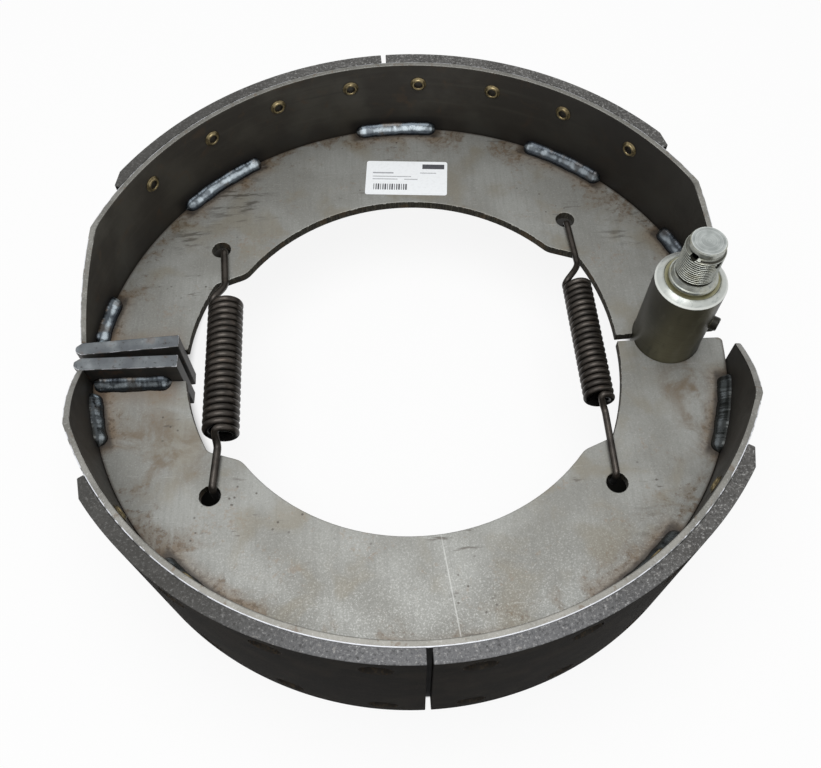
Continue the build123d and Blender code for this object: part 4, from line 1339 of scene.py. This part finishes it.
class BRAKE_OT_label(bpy.types.Operator):
    """Lays the paper label on the upper web, with plain fields in place of print"""

    bl_idname = "brake.label"
    bl_label = "Paper label"

    def execute(self, context):
        wide, deep, thick, corner = (value * MM for value in LABEL_SIZE)
        x, y = LABEL_MIDDLE
        turned = Matrix.Rotation(radians(LABEL_TURN), 4, "Z")
        on_web = Matrix.Translation((x * MM, y * MM, web_top())) @ turned
        bm = bmesh.new()
        outline = []
        for quarter, (sx, sy) in enumerate(((1, 1), (-1, 1), (-1, -1), (1, -1))):
            middle = Vector((sx * (wide / 2 - corner), sy * (deep / 2 - corner), 0.02 * MM))
            for turn in spread_turns(90 * quarter, 90 * quarter + 90, 6):
                outline.append(bm.verts.new(middle + Vector((cos(turn), sin(turn), 0)) * corner))
        sheet = bm.faces.new(outline)
        lifted = bmesh.ops.extrude_face_region(bm, geom=[sheet])["geom"]
        rising = [item for item in lifted if isinstance(item, bmesh.types.BMVert)]
        bmesh.ops.translate(bm, vec=(0, 0, thick - 0.02 * MM), verts=rising)
        # Plain fields and bars: middle, width and depth in mm, and the finish
        fields = [
            (18.0, 10.4, 15.0, 4.2, 1), (-16.0, 4.4, 14.0, 1.2, 2), (-10.0, 1.2, 26.0, 0.7, 2),
            (-14.5, -1.2, 17.0, 0.7, 2), (14.5, 4.6, 11.0, 0.7, 2), (3.0, -1.2, 9.0, 0.7, 2),
        ]
        for place in range(15):
            fields.append((-21.8 + 1.55 * place, -8.0, 0.5 + 0.3 * (place % 3), 5.2, 1))
        for x, y, across, tall, finish in fields:
            made = bmesh.ops.create_cube(bm, size=MM)["verts"]
            bmesh.ops.scale(bm, vec=(across, tall, 0.07), verts=made)
            bmesh.ops.translate(bm, vec=(x * MM, y * MM, thick - 0.015 * MM), verts=made)
            for face in {face for vert in made for face in vert.link_faces}:
                face.material_index = finish
        face_out(bm)
        bmesh.ops.transform(bm, matrix=swing(1) @ on_web, verts=bm.verts)
        makers = (label_paper, label_ink, label_grey_ink)
        make_piece(bm, "paper_label", "sheet", makers, "upper_shoe")
        return {"FINISHED"}


class BRAKE_OT_stage(bpy.types.Operator):
    """Sets up the pale floor, the soft light and the camera"""

    bl_idname = "brake.stage"
    bl_label = "Stage"

    def execute(self, context):
        scene, studio = context.scene, context.scene.brake_studio
        bm = bmesh.new()
        bmesh.ops.create_grid(bm, x_segments=2, y_segments=2, size=FLOOR_REACH)
        mesh = bpy.data.meshes.new("floor")
        bm.to_mesh(mesh)
        bm.free()
        mesh.materials.append(finish_of(studio_floor))
        floor = bpy.data.objects.new("floor", mesh)
        scene.collection.objects.link(floor)

        world = bpy.data.worlds.new("even_white_room")
        world.use_nodes = True
        tree = world.node_tree
        tree.nodes.clear()
        strength = add_node(tree, "MapRange", {0: white_rays(tree), 3: studio.world_light, 4: 1.0})
        room = add_node(tree, "Background", {"Color": (1, 1, 1, 1), "Strength": strength})
        add_node(tree, "OutputWorld", {"Surface": room})
        scene.world = world

        lamp = bpy.data.lights.new("key_lamp", "AREA")
        lamp.shape = "DISK"
        lamp.size = LAMP_SIZE
        lamp.energy = studio.key_power
        key = bpy.data.objects.new("key_lamp", lamp)
        scene.collection.objects.link(key)
        key.location = LAMP_AT
        key.rotation_euler = (Vector(LAMP_AIM) - key.location).to_track_quat("-Z", "Y").to_euler()

        camera = bpy.data.cameras.new("photo_camera")
        camera.sensor_width = 36.0
        camera.sensor_fit = "HORIZONTAL"
        camera.lens = studio.lens
        camera.shift_x = studio.shift_x
        camera.shift_y = studio.shift_y
        camera.clip_start = 0.01
        viewer = bpy.data.objects.new("photo_camera", camera)
        scene.collection.objects.link(viewer)
        right, forward = Vector(CAMERA_RIGHT), Vector(CAMERA_LOOKS)
        turned = Matrix((right, right.cross(forward), -forward)).transposed().to_4x4()
        viewer.matrix_world = Matrix.Translation(Vector(CAMERA_AT) * MM) @ turned
        scene.camera = viewer
        scene.view_settings.view_transform = "Standard"
        return {"FINISHED"}


class BRAKE_PT_panel(bpy.types.Panel):
    """Lists the pieces of the brake in the sidebar"""

    bl_idname = "BRAKE_PT_panel"
    bl_label = "Drum brake shoe pair"
    bl_space_type = "VIEW_3D"
    bl_region_type = "UI"
    bl_category = "Brake"

    def draw(self, context):
        for operator in PIECES:
            self.layout.operator(operator.bl_idname)


GROUPS = {
    "brake_shoe": ShoeSizes, "brake_rivet": RivetSizes, "brake_weld": WeldSizes,
    "brake_pin": PinSizes, "brake_spring": SpringSizes, "brake_colours": Colours,
    "brake_studio": Studio,
}
PIECES = (
    BRAKE_OT_webs, BRAKE_OT_rims, BRAKE_OT_linings, BRAKE_OT_rivets, BRAKE_OT_cam_pads,
    BRAKE_OT_welds, BRAKE_OT_anchor_pin, BRAKE_OT_springs, BRAKE_OT_label, BRAKE_OT_stage,
)


def register():
    for group in GROUPS.values():
        bpy.utils.register_class(group)
    for name, group in GROUPS.items():
        setattr(bpy.types.Scene, name, bpy.props.PointerProperty(type=group))
    for operator in PIECES:
        bpy.utils.register_class(operator)
    bpy.utils.register_class(BRAKE_PT_panel)


def unregister():
    bpy.utils.unregister_class(BRAKE_PT_panel)
    for operator in reversed(PIECES):
        bpy.utils.unregister_class(operator)
    for name in GROUPS:
        delattr(bpy.types.Scene, name)
    for group in GROUPS.values():
        bpy.utils.unregister_class(group)


def main():
    register()
    for operator in PIECES:
        group, name = operator.bl_idname.split(".")
        getattr(getattr(bpy.ops, group), name)()


if __name__ == "__main__":
    main()
